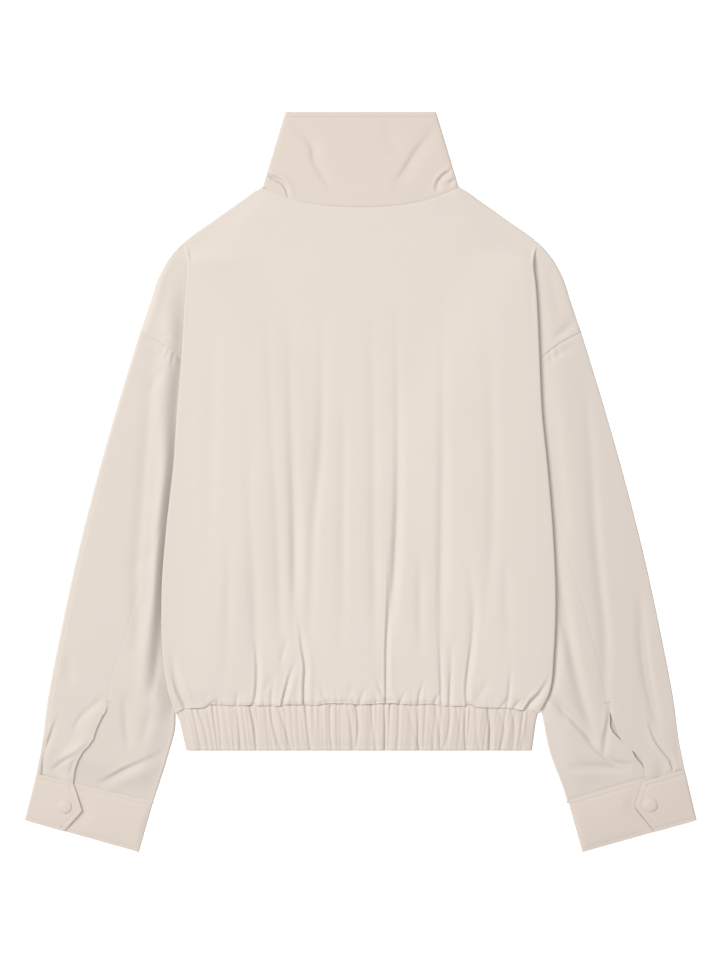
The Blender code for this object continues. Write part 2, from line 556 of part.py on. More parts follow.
def collar(shader):
    """One funnel band: from its end inside the centre front, round the back, to its outer end."""
    roll = (COLLAR_LEVEL - FLOOR_LAYER) / 2
    inner_end = ((14, 1), (4, 1), (-6, 1), (-15, 1), (-21, .5), (-25, 0))
    rows = []
    for up in (0, .15, .5, .85, 1):
        half = COLLAR_HALF["low"] + (COLLAR_HALF["top"] - COLLAR_HALF["low"]) * up - WALL / 2
        scale = half / NECK["x"][-1]
        rim = -WALL / 2 if up == 1 else 0

        def front_point(x, level):
            seam = float(curve(abs(x), FRONT_NECK["x"], FRONT_NECK["y"]))
            top = COLLAR_TOP_Y - COLLAR_DIP * (1 - ease(abs(x) / half))
            return x, seam + (top - seam) * up + (COLLAR_FRONT_GAP if up == 0 else rim), level

        def back_y(low):
            return low + (COLLAR_TOP_Y - low) * up + (SEAM if up == 0 else rim)

        section = [front_point(x * MM, FLOOR_LAYER + (OVERLAP_LEVEL - FLOOR_LAYER) * raised)
                   for x, raised in inner_end]
        section += [front_point(x * MM * scale, FLOOR_LAYER) for x in (-50, -80, -98)]
        side_y = back_y(NECK["y"][-1])
        for turn in np.linspace(pi, 0, 6):
            section.append((-(half - roll + roll * sin(turn)), side_y, FLOOR_LAYER + roll * (1 + cos(turn))))
        for x in np.array([-92, -75, -50, -25, 0, 25, 50, 75, 92]) * MM:
            level = COLLAR_LEVEL + COLLAR_CROWN * (1 - (x / NECK["x"][-1]) ** 2)
            low = float(curve(abs(x * scale), NECK["x"], NECK["y"]))
            section.append((x * scale, back_y(low), level))
        for turn in np.linspace(0, pi, 6):
            section.append((half - roll + roll * sin(turn), side_y, FLOOR_LAYER + roll * (1 + cos(turn))))
        section += [front_point(x * MM * scale, FLOOR_LAYER) for x in (98, 80, 50)]
        section += [front_point(x * MM, FLOOR_LAYER) for x in (20, 0, -14)]
        rows.append(section)
    return cloth("collar", np.array(rows), shader)


def hem_band(shader):
    """One gathered band: from its end inside the centre front, round the back, to its outer end."""
    places = gather_columns(3)
    under = np.arange(FRONT_OVERLAP + 12 * MM, 186 * MM, FRONT_GATHER_STEP / 2)
    under_level = FLOOR_LAYER + UNDER_RIDGE * (np.arange(len(under)) % 2)
    radius = (BAND_LEVEL - FLOOR_LAYER) / 2
    inner_end = ((14, 1), (0, 1), (-15, 1), (-20, .6), (-24, 0))
    rows = []
    for down in (0, .5, 1):
        half = {side: BAND_TOP_HALF[side] + (BAND_LOW_HALF[side] - BAND_TOP_HALF[side]) * down - WALL / 2
                for side in ("left", "right")}
        scale = {side: half[side] / BAND_TOP_HALF[side] for side in half}
        y = HEM_SEAM_Y + (HEM_Y - HEM_SEAM_Y) * down + {0: -SEAM / 2, 1: WALL / 2}.get(down, 0)
        puff = BAND_PUFF * sin(pi * down)

        def side_roll(sign, reach, turns):
            return [(sign * (reach - radius + radius * sin(turn)), FLOOR_LAYER + radius * (1 + cos(turn)))
                    for turn in turns]

        section = [(x * MM, FLOOR_LAYER + (OVERLAP_LEVEL - FLOOR_LAYER) * raised) for x, raised in inner_end]
        section += list(zip(-under * scale["left"], under_level))
        section += side_roll(-1, half["left"], np.linspace(pi, 0, 6))
        across = places * np.where(places < 0, scale["left"], scale["right"])
        section += list(zip(across, BAND_LEVEL + puff + gather_wave(places)))
        section += side_roll(1, half["right"], np.linspace(0, pi, 6))
        section += list(zip(under[::-1] * scale["right"], under_level[::-1]))
        section += [(FRONT_OVERLAP, FLOOR_LAYER), (-FRONT_OVERLAP, FLOOR_LAYER)]
        rows.append([(x, y, z) for x, z in section])
    return cloth("hem_band", np.array(rows)[::-1], shader)


def main():
    for leftover in list(bpy.data.objects):
        bpy.data.objects.remove(leftover, do_unlink=True)
    shell = material("Shell cloth", (0.80, 0.73, 0.66), 0.72)
    cover = material("Button cover cloth", (0.77, 0.70, 0.63), 0.7)
    back_panel(shell)
    collar(shell)
    hem_band(shell)
    for side in ("left", "right"):
        front(side, shell)
        sleeve_half(side, "top", shell)
        sleeve_half(side, "under", shell)
        cuff(side, shell)
        button(side, cover)


main()
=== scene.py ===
import bpy
import bmesh
import numpy as np
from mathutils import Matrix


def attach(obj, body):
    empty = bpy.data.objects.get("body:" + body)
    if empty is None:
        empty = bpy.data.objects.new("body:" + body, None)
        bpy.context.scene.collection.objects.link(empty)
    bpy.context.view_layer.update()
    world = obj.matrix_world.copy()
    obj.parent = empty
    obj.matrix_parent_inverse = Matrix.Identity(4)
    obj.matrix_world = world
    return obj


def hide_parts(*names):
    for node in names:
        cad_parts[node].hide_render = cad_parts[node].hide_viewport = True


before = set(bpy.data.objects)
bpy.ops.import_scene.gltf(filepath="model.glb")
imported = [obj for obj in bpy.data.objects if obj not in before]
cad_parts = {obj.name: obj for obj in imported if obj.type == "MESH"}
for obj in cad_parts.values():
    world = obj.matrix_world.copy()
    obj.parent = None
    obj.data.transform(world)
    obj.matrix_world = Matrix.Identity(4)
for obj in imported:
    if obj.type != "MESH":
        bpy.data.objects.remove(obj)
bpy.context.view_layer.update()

mm = 0.001
pixel = 1.10 * mm                  # one picture element on the cloth
pictureCentre = (360.5, 482.25)    # the picture element over the origin
wall = 0.9 * mm                    # cloth thickness of the shells
seamGap = 0.04 * mm                # kept free between two pieces that meet at a seam

# levels of the middle of the cloth over the surface, radii of the side folds, places from the origin
levels = {"floor": 0.6, "second": 2.7, "third": 4.9, "back": 4.6, "overlap": 2.3,
          "band": 5.0, "collar": 4.2, "lap": 4.5, "edge": 1.85}
levels = {name: value * mm for name, value in levels.items()}
rolls = {"side": 1.4 * mm, "inner": 1.1 * mm}
lines = {"hemSeam": -245, "hem": -295, "collarTop": 407.3, "shoulder": 263, "drop": 165,
         "underarm": 50, "foldStart": 240}
lines = {name: value * mm for name, value in lines.items()}
innerFoldX = (96 * mm, 190 * mm)   # hidden fold line: beside the underarm, and at its start
overlap = 15 * mm                  # each front passes the centre by this


def table(names, rows):
    # rows of millimetres become one array in metres for each named column
    values = np.array(rows, dtype=float) * mm
    return {name: values[:, column] for column, name in enumerate(names.split())}


def curve(at, where, what):
    # cubic pieces through a table's points; the slope is 0 where the table turns
    order = np.argsort(where)
    x, y = np.asarray(where)[order], np.asarray(what)[order]
    slope = np.diff(y) / np.diff(x)
    tangent = np.concatenate([slope[:1], (slope[1:] + slope[:-1]) / 2, slope[-1:]])
    tangent[np.concatenate([[False], slope[1:] * slope[:-1] <= 0, [False]])] = 0
    at = np.clip(np.asarray(at, dtype=float), x[0], x[-1])
    i = np.clip(np.searchsorted(x, at, side="right") - 1, 0, len(x) - 2)
    width = x[i + 1] - x[i]
    t = (at - x[i]) / width
    return ((2 * t**3 - 3 * t**2 + 1) * y[i] + (t**3 - 2 * t**2 + t) * width * tangent[i]
            + (3 * t**2 - 2 * t**3) * y[i + 1] + (t**3 - t**2) * width * tangent[i + 1])


def ease(t):
    # 0 below 0, 1 above 1, smooth between
    t = np.clip(t, 0, 1)
    return t * t * (3 - 2 * t)


def bell(away, wide):
    # 1 in the middle, exp(-(away / wide)^2) beside it
    return np.exp(-(away / wide) ** 2)


def onCloth(x, y):
    # picture elements to metres on the surface
    return (x - pictureCentre[0]) * pixel, (pictureCentre[1] - y) * pixel


outline = {
    "shoulder": table("y x", (
        (325, 108), (321, 116), (310, 131.5), (288, 162.5), (266, 193), (255, 204), (244, 212.5),
        (222, 224), (200, 231), (165, 243))),
    "sleeveOuter": table("y x", (
        (165, 243), (134, 252.5), (90, 266), (2, 291), (-85, 313), (-174, 332), (-240, 344.5),
        (-286, 350.5), (-320.4, 357))),
    "sleeveInner": table("y left right", (
        (50, 110, 110), (-222, 199, 193), (-235, 203.5, 197), (-254, 203.5, 199.5),
        (-266, 203.5, 201.5), (-295, 210, 207.5), (-338, 223.5, 223), (-351.2, 228, 227))),
    "sideFold": table("y left right", (
        (263, 194, 194), (240, 190.5, 190.5), (218, 192, 193), (189, 194, 195), (131, 197.5, 197.5),
        (77, 202, 200), (21, 205.7, 205.7), (-54, 214, 212), (-130, 219, 215), (-185, 218, 213),
        (-222, 212, 208.5), (-245, 204, 197))),
    "armhole": table("y x", (
        (165, 243), (160, 232), (150, 215), (139.5, 202), (104, 167), (77, 138), (50, 108))),
    "sideSeam": table("y left right", (
        (50, 96, 96), (-100, 153, 150), (-200, 184, 179), (-235, 195.5, 188.5), (-245, 197.5, 190))),
    "neck": table("x y", ((0, 302.8), (40, 305), (80, 312.5), (108, 324))),
    "frontNeck": table("x y", ((0, 270), (35, 273), (70, 288), (95, 308), (108, 323))),
}
bandHalf = {"left": (203 * mm, 192 * mm), "right": (195.5 * mm, 188.5 * mm)}   # top, lower edge
sides = ("left", "right")


def edgeAt(name, y, side="x"):
    # an outline's distance from the middle at a height
    return curve(y, outline[name]["y"], outline[name][side])


def seamAt(name, x):
    # an outline's height at a distance from the middle
    return curve(np.abs(x), outline[name]["x"], outline[name]["y"])


def bySide(x, find):
    # the left side's value where x is below 0, and else the right side's
    return np.where(x < 0, find("left"), find("right"))


def onSide(points, side, turned):
    # a grid made for the right side is mirrored for the left, and turned so that its faces look out
    points = points * (-1, 1, 1) if side == "left" else points
    return points[:, ::-1] if turned else points


def halfTurn(edge, radius, turn, outward=1):
    # cloth rolled round an edge: x = edge - r (1 - sin), level = floor + r (1 + cos)
    return edge - outward * radius * (1 - np.sin(turn)), levels["floor"] + radius * (1 + np.cos(turn))


def finer(values, parts):
    # each step of a list split into equal parts
    values = np.asarray(values, dtype=float)
    steps = [values[:-1] + np.diff(values) * k / parts for k in range(parts)]
    return np.append(np.stack(steps, axis=1).reshape(-1), values[-1])


def soft(path, wide, deep, steep=None, fade="both", lip=0.0, over=0.0):
    # a crease: picture places on its path, half width and depth in mm (or depths at even steps), half width
    # on the right of the way, how its ends fade, a lip on both sides, and a step up on the left
    places = np.array([onCloth(*place) for place in path])
    steps = np.arange(len(places))
    at = np.linspace(0, len(places) - 1, 14 if len(places) > 2 else 2)
    way = np.stack([curve(at, steps, places[:, 0]), curve(at, steps, places[:, 1])], axis=1)
    return {"way": way, "wide": wide, "deep": np.atleast_1d(deep), "steep": steep or wide, "fade": fade,
            "lip": lip, "over": over}


def crease(x, y, spec):
    # height of a soft trough or ridge: depth x bell across the nearest piece of its way, less lip and step
    path = spec["way"]
    length = np.concatenate([[0], np.cumsum(np.hypot(*np.diff(path, axis=0).T))])
    best, side, share = np.full(x.shape, 1e9), np.zeros(x.shape), np.zeros(x.shape)
    for i, step in enumerate(np.diff(path, axis=0)):
        size = max(float(step @ step), 1e-12)
        t = np.clip(((x - path[i, 0]) * step[0] + (y - path[i, 1]) * step[1]) / size, 0, 1)
        dx, dy = x - path[i, 0] - t * step[0], y - path[i, 1] - t * step[1]
        away = dx * dx + dy * dy
        near = away < best
        best = np.where(near, away, best)
        side = np.where(near, np.sign(step[0] * dy - step[1] * dx), side)
        share = np.where(near, (length[i] + t * (length[i + 1] - length[i])) / length[-1], share)
    away = np.sqrt(best)
    wide = np.where(side > 0, spec["wide"], spec["steep"]) * mm
    fade = {"both": np.sin(np.pi * share) ** 0.7, "end": ease((1 - share) / 0.75), "none": 1.0}
    deep = np.interp(share, np.linspace(0, 1, len(spec["deep"])), spec["deep"])
    lip = spec["lip"] * bell(away - 1.9 * wide, wide)
    over = 1 / (1 + np.exp(np.clip(-side * away / (0.3 * mm), -40, 40))) * bell(away, 5 * mm)
    return -deep * mm * fade[spec["fade"]] * (bell(away, wide) - lip - spec["over"] * over)


def creases(x, y, specs):
    # the sum of several
    total = np.zeros(np.shape(x))
    for spec in specs:
        total = total + crease(x, y, spec)
    return total


class Link:
    # one output of a node; sums and products of links add the Math nodes that they need
    def __init__(self, graph, output):
        self.graph, self.output = graph, output

    def maths(self, operation, first, second):
        return self.graph.node("ShaderNodeMath", {"operation": operation}, {0: first, 1: second})

    def __add__(self, other):
        return self.maths("ADD", self, other)

    def __radd__(self, other):
        return self.maths("ADD", other, self)

    def __sub__(self, other):
        return self.maths("SUBTRACT", self, other)

    def __rsub__(self, other):
        return self.maths("SUBTRACT", other, self)

    def __mul__(self, other):
        return self.maths("MULTIPLY", self, other)

    def __rmul__(self, other):
        return self.maths("MULTIPLY", other, self)


class Graph:
    # a material's nodes; every node, value and link goes through node, mix or feed
    def __init__(self, name):
        self.material = bpy.data.materials.new(name)
        self.material.use_nodes = True
        self.tree = self.material.node_tree
        self.shader = self.tree.nodes["Principled BSDF"]

    def fill(self, socket, value):
        if isinstance(value, Link):
            self.tree.links.new(value.output, socket)
        else:
            socket.default_value = value

    def node(self, kind, settings=None, inputs=None, output=0):
        made = self.tree.nodes.new(kind)
        for name, value in (settings or {}).items():
            setattr(made, name, value)
        for name, value in (inputs or {}).items():
            self.fill(made.inputs[name], value)
        return Link(self, made.outputs[output])

    def mix(self, share, first, second):
        # colours are the mix node's inputs 6 and 7, its result is output 2
        first, second = (value if isinstance(value, Link) else (*value, 1) for value in (first, second))
        return self.node("ShaderNodeMix", {"data_type": "RGBA"}, {0: share, 6: first, 7: second}, 2)

    def noise(self, place, scale, detail=2.0):
        return self.node("ShaderNodeTexNoise", {}, {"Vector": place, "Scale": scale, "Detail": detail})

    def feed(self, values):
        for name, value in values.items():
            self.fill(self.shader.inputs[name], value)


clothLook = {
    "colour": (0.610, 0.551, 0.498), "shade": (0.567, 0.508, 0.455), "roughness": 0.78, "sheen": 0.12,
    "mottle": 9.0, "cloud": 60.0, "slub": (900, 60, 60), "thread": 0.55 * mm, "relief": 0.06 * mm,
    # painted shade: a darker tint of the cloth towards the sleeves, and between which distances from the
    # middle it sets in
    "sides": (0.962, 0.955, 0.954), "sleeveShadeFrom": 0.17, "sleeveShadeTo": 0.24,
}


def clothMaterial(name, look, turn=0.0):
    # plain weave: crossed bands of threads with slubs, on a base that varies slowly; where the look gives
    # it, painted shade darkens the sleeves
    graph = Graph(name)
    place = graph.node("ShaderNodeTexCoord", output="Object")
    turned = graph.node("ShaderNodeMapping", {}, {"Vector": place, "Rotation": (0, 0, turn)})
    bands = 2 * np.pi / (20 * look["thread"])
    weave = [graph.node("ShaderNodeTexWave", {"bands_direction": axis, "wave_profile": "SIN"},
                        {"Vector": turned, "Scale": bands, "Distortion": 0.6, "Detail": 1.0})
             for axis in "XY"]
    stretched = graph.node("ShaderNodeMapping", {}, {"Vector": turned, "Scale": look["slub"]})
    slub = graph.noise(stretched, 1.0)
    threads = weave[0] * 0.5 + weave[1] * 0.5
    share = threads * 0.16 + slub * 0.22 + graph.noise(place, look["mottle"], 3.0) * 0.30
    share = share + graph.noise(place, look["cloud"]) * 0.16
    colour = graph.mix(share, look["colour"], look["shade"])
    # painted shade: the colour made darker beyond the body's sides, over the sleeves
    if look["sides"]:
        parts = graph.node("ShaderNodeSeparateXYZ", {}, {"Vector": place})
        apart = graph.node("ShaderNodeMath", {"operation": "ABSOLUTE"}, {0: parts})
        reach = graph.node("ShaderNodeMapRange", {"interpolation_type": "SMOOTHSTEP"},
                           {"Value": apart, "From Min": look["sleeveShadeFrom"], "From Max": look["sleeveShadeTo"]})
        sleeveShaded = [np.multiply(look[key], look["sides"]).tolist() for key in ("colour", "shade")]
        colour = graph.mix(reach, colour, graph.mix(share, *sleeveShaded))
    bump = graph.node("ShaderNodeBump", {}, {"Height": threads * 0.6 + slub * 0.4,
                                             "Distance": look["relief"], "Strength": 0.7})
    graph.feed({"Base Color": colour, "Roughness": look["roughness"] + (slub - 0.5) * 0.08,
                "Sheen Weight": look["sheen"], "Sheen Roughness": 0.5, "Specular IOR Level": 0.25,
                "Normal": bump})
    return graph.material


def threadMaterial():
    # sewing thread: a little lighter and shinier than the cloth, with a fine twist
    graph = Graph("sewingThread")
    place = graph.node("ShaderNodeTexCoord", output="Object")
    twist = graph.node("ShaderNodeTexWave", {"bands_direction": "DIAGONAL"},
                       {"Vector": place, "Scale": 900.0, "Distortion": 1.0})
    graph.feed({"Base Color": graph.mix(twist * 0.6, (0.62, 0.55, 0.49), (0.53, 0.465, 0.405)),
                "Roughness": 0.55 + twist * 0.1, "Sheen Weight": 0.1})
    return graph.material


shellCloth = clothMaterial("shellCloth", clothLook)
# the collar, cuffs and band: a little darker and warmer
trimLook = dict(clothLook, colour=(0.594, 0.522, 0.466), shade=(0.552, 0.481, 0.426), sides=None)
trimCloth = clothMaterial("trimCloth", trimLook)
buttonLook = dict(trimLook, thread=0.45 * mm)
buttonCloth = clothMaterial("buttonCloth", buttonLook, turn=0.4)
sewingThread = threadMaterial()
print("materials ready")


def finished(mesh, merge=0.0, outwards=True):
    # loose points out, doubles merged, faces turned outwards
    shape = bmesh.new()
    shape.from_mesh(mesh)
    bmesh.ops.delete(shape, geom=[v for v in shape.verts if not v.link_faces], context="VERTS")
    if merge:
        bmesh.ops.remove_doubles(shape, verts=shape.verts, dist=merge)
    if outwards:
        bmesh.ops.recalc_face_normals(shape, faces=shape.faces)
    shape.to_mesh(mesh)
    shape.free()
    return mesh


def newMesh(name, points, faces):
    # points as one or several grids of places
    mesh = bpy.data.meshes.new(name)
    mesh.from_pydata(np.reshape(points, (-1, 3)).tolist(), [], faces)
    mesh.update()
    return mesh


def newPiece(name, mesh, material, nodes):
    mesh.materials.append(material)
    piece = bpy.data.objects.new(name, mesh)
    bpy.context.scene.collection.objects.link(piece)
    mesh.polygons.foreach_set("use_smooth", [True] * len(mesh.polygons))
    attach(piece, "root")
    if nodes:
        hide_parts(*nodes)
    return piece


def thickened(sheet):
    # the sheet's faces moved half a wall up and down along its normals, joined by a rim
    count = len(sheet.vertices)
    middle, normal = np.empty((count, 3)), np.empty((count, 3))
    sheet.vertices.foreach_get("co", middle.ravel())
    sheet.vertices.foreach_get("normal", normal.ravel())
    faces = [list(face.vertices) for face in sheet.polygons]
    # the rim: edges that no second face runs along the other way
    first = np.concatenate(faces)
    second = np.concatenate([face[1:] + face[:1] for face in faces])
    open_ = ~np.isin(first * count + second, second * count + first)
    first, second = first[open_], second[open_]
    rim = np.stack([second, first, first + count, second + count], axis=1).tolist()
    under = [[v + count for v in reversed(face)] for face in faces]
    layers = [middle + normal * wall / 2, middle - normal * wall / 2]
    mesh = newMesh(sheet.name, layers, faces + under + rim)
    mesh.set_sharp_from_angle(angle=0.9)
    return mesh


def clothPiece(name, points, node, present=None, material=None):
    # a grid of points in the middle of the wall, thickened evenly to both sides
    index = np.arange(points[..., 0].size).reshape(points.shape[:2])
    cells = np.stack([index[:-1, :-1], index[1:, :-1], index[1:, 1:], index[:-1, 1:]], axis=-1)
    cells = cells[present] if present is not None else cells.reshape(-1, 4)
    mesh = finished(newMesh(name, points, cells.tolist()), 0.01 * mm, outwards=False)
    area = sum(face.area for face in mesh.polygons)
    piece = newPiece(name, thickened(mesh), material or shellCloth, [node])
    print(f"{name}: {len(mesh.polygons)} faces, {area:.4f} square metres")
    return piece


def stitches(name, runs, look):
    # rows of stitches: each a low spindle along its run, place = middle + way s + r (across cos + lift sin)
    sides, rings = 6, len(look["along"])
    ring = np.linspace(0, 2 * np.pi, sides, endpoint=False)
    along, girth = np.array(look["along"]) * look["length"], np.array(look["girth"]) * look["radius"]
    local = np.arange(rings * sides).reshape(rings, sides)
    quads = np.stack([local[:-1], np.roll(local[:-1], -1, 1), np.roll(local[1:], -1, 1), local[1:]], -1)
    blocks, faces, base = [], [], 0
    for run in runs:
        length = np.concatenate([[0], np.cumsum(np.linalg.norm(np.diff(run, axis=0), axis=1))])
        count = max(int(length[-1] / look["pitch"]), 1)
        middles = (np.arange(count) + 0.5) * length[-1] / count
        ends = [np.stack([np.interp(middles + shift, length, run[:, k]) for k in range(3)], axis=1)
                for shift in (-look["length"] / 2, look["length"] / 2)]
        way = ends[1] - ends[0]
        way = way / np.maximum(np.linalg.norm(way, axis=1, keepdims=True), 1e-9)
        across = np.cross(way, (0, 0, 1.0))
        across /= np.maximum(np.linalg.norm(across, axis=1, keepdims=True), 1e-9)
        middle, way, across, lift = (value[:, None, None, :] for value in (
            (ends[0] + ends[1]) / 2, way, across, np.cross(across, way)))
        around = across * np.cos(ring)[:, None] + lift * np.sin(ring)[:, None] * look["flat"]
        points = middle + way * along[:, None, None] + around * girth[:, None, None]
        blocks.append(points.reshape(-1, 3))
        starts = base + local.size * np.arange(count)
        faces += (starts[:, None, None, None] + quads).reshape(-1, 4).tolist()
        faces += (starts[:, None] + local[0][::-1]).tolist() + (starts[:, None] + local[-1]).tolist()
        base += local.size * count
    mesh = finished(newMesh(name, np.concatenate(blocks), faces))
    return newPiece(name, mesh, sewingThread, [])


stitchLook = {
    "pitch": 2.6 * mm, "length": 2.0 * mm, "radius": 0.20 * mm, "flat": 0.7,
    "along": (-0.5, -0.32, 0.0, 0.32, 0.5), "girth": (0.25, 0.85, 1.0, 0.85, 0.25),
}

back = {
    # long soft flutes that run down the back; depths at even steps along each
    "flutes": (
        soft(((249, 400), (249, 450), (250, 510), (254, 580), (256, 650), (257, 700)), 6.5,
             (.3, .5, .5, .8, 1.5, 1.2)),
        soft(((262, 300), (268, 340), (273, 450), (277, 520), (280, 610), (284, 700)), 5.5,
             (.3, .4, .5, .5, .7, .9)),
        soft(((288, 300), (289, 340), (292, 450), (294, 510), (295, 580), (293, 640)), 7,
             (.3, .4, .9, 1.2, 1.9, .8), steep=5),
        soft(((323, 300), (323, 340), (321, 450), (314, 520), (311, 610), (305, 670)), 6,
             (.3, .4, .8, .8, .8, .8)),
        soft(((344, 380), (344, 450), (343, 520), (343, 610), (340, 670)), 6, (.3, .5, .5, .5, .4)),
        soft(((372, 300), (373, 380), (374, 450), (374, 520), (375, 610), (374, 680)), 6,
             (.2, .4, .5, .6, .9, .6)),
        soft(((396, 300), (397, 340), (398, 450), (397, 520), (393, 590), (388, 650), (387, 690)), 6,
             (.3, .4, .7, 1.1, 1.9, 2, 1), steep=4),
        soft(((420, 560), (420, 610), (421, 660)), 5, .7),
        soft(((444, 300), (443, 380), (443, 450), (442, 520), (441, 610), (441, 690)), 7,
             (.3, .5, 1, 1.1, 1.4, 1.6), steep=5),
        soft(((468, 560), (474, 610), (471, 650), (468, 700)), 5, (.5, .9, 1.5, 1.2)),
        soft(((486, 300), (490, 380), (493, 450), (493, 520), (488, 590), (484, 640)), 7,
             (.3, .4, .6, .8, .8, .4)),
        soft(((229, 540), (229, 580), (227, 640), (224, 690)), 6, .7),
        soft(((214, 330), (212, 400), (210, 480), (208, 560)), 9, .5),
        soft(((506, 560), (507, 610), (508, 660)), 6, .6),
        soft(((452, 640), (451, 670), (450, 700)), 3.5, 1),
    ),
    # places of the band's gathers, which set the swell of the cloth between them
    "gathers": np.array((
        -185, -170, -158, -152, -138, -131, -120, -115, -106, -97, -84, -77, -70, -57, -51, -43, -34, -26,
        -19, -8, -1, 13, 18, 28, 33, 43, 57, 65, 72, 83, 90, 99, 112, 118, 125, 141, 146, 161, 172, 180,
        185)) * mm,
    # short creases that climb from the band's seam
    "creases": (
        soft(((436, 206), (475, 214), (512, 222)), 9, .9),
        soft(((185, 706), (183, 698), (176, 680), (168, 655)), 1.8, 1.9, steep=4, fade="end", lip=.3),
        soft(((176, 711), (170, 694), (165, 674)), 4, .8, lip=.3),
        soft(((171, 648), (175, 668), (181, 688), (189, 705)), 4, 1.5, steep=5),
        soft(((192, 709), (188, 704), (184, 699)), 1.5, 1, steep=2.2),
        soft(((208, 707), (212, 704), (217, 699)), 1.6, 1.1, steep=2.4),
        soft(((217, 706), (218, 702), (220, 696)), 1.4, 1.3, steep=2, fade="end"),
        soft(((236, 706), (237, 698), (238, 686)), 1.5, 1.3, steep=2.2, fade="end"),
        soft(((253, 706), (256, 692), (257, 670), (256, 650), (253, 630)), 1.6, 1.8, steep=3.4, fade="end",
             lip=.3),
        soft(((271, 705), (272, 690), (276, 670)), 1.9, 1.1, steep=2.8, fade="end"),
        soft(((260, 696), (267, 686), (274, 672)), 3.5, .7),
        soft(((282, 704), (285, 692), (290, 675), (297, 656)), 1.3, 2.3, steep=3.2, fade="end", lip=.35),
        soft(((279, 664), (283, 652), (288, 636)), 1.9, 1, steep=2.8),
        soft(((304, 705), (304, 688), (305, 668), (302, 648), (297, 610)), 1.5, 2.4, steep=3.4, fade="end",
             lip=.3),
        soft(((307, 700), (312, 702), (318, 706)), 1.6, 1, steep=2.4),
        soft(((327, 704), (323, 694), (318, 682)), 1.6, 1, steep=2.4, fade="end"),
        soft(((347, 704), (350, 692), (354, 680)), 3, .7, fade="end"),
        soft(((360, 703), (362, 696), (366, 686)), 1.6, 1.1, steep=2.4, fade="end"),
        soft(((376, 704), (375, 700), (373, 692)), 1.5, 1.1, steep=2.2, fade="end"),
        soft(((385, 702), (380, 690), (373, 670)), 1.8, 1.2, steep=2.6, fade="end"),
        soft(((386, 704), (386, 690), (386, 660), (388, 600), (389, 540)), 1.3, 1.7, steep=3, fade="end",
             lip=.3),
        soft(((392, 702), (390, 695), (387, 684)), 1.5, .9, steep=2.2, fade="end"),
        soft(((400, 704), (403, 697), (407, 690)), 1.5, 1.2, steep=2.2, fade="end"),
        soft(((418, 704), (420, 694), (425, 678)), 1.6, 1.4, steep=2.4, fade="end"),
        soft(((434, 704), (437, 698), (442, 689)), 1.6, 1.2, steep=2.4, fade="end"),
        soft(((441, 704), (441, 688), (440, 660), (439, 620)), 1.5, 1.4, steep=3, fade="end"),
        soft(((449, 705), (450, 690), (451, 662)), 1.6, 1.5, steep=2.4, fade="end"),
        soft(((467, 705), (466, 690), (468, 668), (472, 640), (474, 600)), 1.6, 1.3, steep=3.4, fade="end",
             lip=.3),
        soft(((476, 700), (482, 690), (488, 677)), 4, .7),
        soft(((498, 708), (502, 703), (508, 696)), 1.6, 1.2, steep=2.4),
        soft(((507, 704), (509, 688), (511, 660)), 1.8, 1.4, steep=2.6, fade="end"),
        soft(((511, 708), (515, 702), (521, 694)), 1.6, 1.3, steep=2.4),
        soft(((522, 711), (529, 700), (538, 688), (546, 677), (552, 667)), 1.7, (2.7, 2.7, 2.4, 1.5, .4),
             steep=4, fade="none", lip=.3),
        soft(((186, 246), (189, 280), (188, 340)), 3, .35),
        soft(((533, 246), (531, 280), (533, 340)), 3, .35),
    ),
    # swelling above the hem seam, and the edge tucked into it, by a share more to the right of a place
    "edgeRise": 1.25 * mm, "edgeDrop": 1.6 * mm, "moreFrom": 100 * mm, "more": 0.45,
    # the slope up to the folded cloth: where it starts from the fold, and its width
    "slopeFrom": 82 * mm, "slope": 79 * mm,
    "dropColumns": 26, "columns": 399,           # over a drop shoulder, and over the back
    # heights of the rows, closer where the cloth bends, and the last ones above the hem seam
    "rows": (263, 254, 245, 236, 224, 200, 175, 165, 159, 149, 134, 115, 95, 50, 0, -50, -100, -140, -165,
             -185, -200, -213, -223, -231, -237),
    "lastRows": (-239.2, -241, -242.5, -243.7, -244.5, -245),
    # the hem seam wavers: picture places along it
    "seam": np.array((
        (176, 713.5), (182, 709.5), (191, 708), (205, 707), (210, 704.5), (219, 704.5), (235, 705.5),
        (252, 705), (260, 705.5), (270, 705.5), (282, 706), (286, 704.5), (307, 704.5), (315, 705.5),
        (325, 703.5), (335, 703.3), (350, 703.5), (360, 704.5), (370, 704), (390, 703), (402, 704),
        (417, 704.5), (423, 703.8), (435, 704), (442, 705.5), (460, 706), (467, 705.5), (470, 704),
        (476, 706.5), (490, 707.5), (510, 708), (522, 710), (528, 709), (538, 713))),
}


def seamShift(x):
    # how far the wavering hem seam lies above its straight line
    seamX, seamY = onCloth(back["seam"][:, 0], back["seam"][:, 1])
    return curve(x, seamX, seamY) - lines["hemSeam"]


def gatherWave(x):
    # rounded swellings between the band's gathers, higher where they are further apart
    x = np.asarray(x)
    places = np.concatenate([[-200 * mm], back["gathers"], [200 * mm]])
    i = np.clip(np.searchsorted(places, x, side="right") - 1, 0, len(places) - 2)
    width = places[i + 1] - places[i]
    t = np.clip((x - places[i]) / width, 0, 1)
    return np.minimum(0.10 * width, 1.0 * mm) * (1 - np.abs(2 * t - 1) ** 2.5)


def thirdLayer(y):
    # level of the cloth folded under the side edge: it comes down beside the hem band
    return levels["third"] - 1.7 * mm * ease((-226 * mm - y) / (22 * mm))


def innerFold(y):
    # the hidden fold line's distance from the middle
    share = np.clip((y - lines["underarm"]) / (lines["foldStart"] - lines["underarm"]), 0, 1)
    return innerFoldX[0] + (innerFoldX[1] - innerFoldX[0]) * share


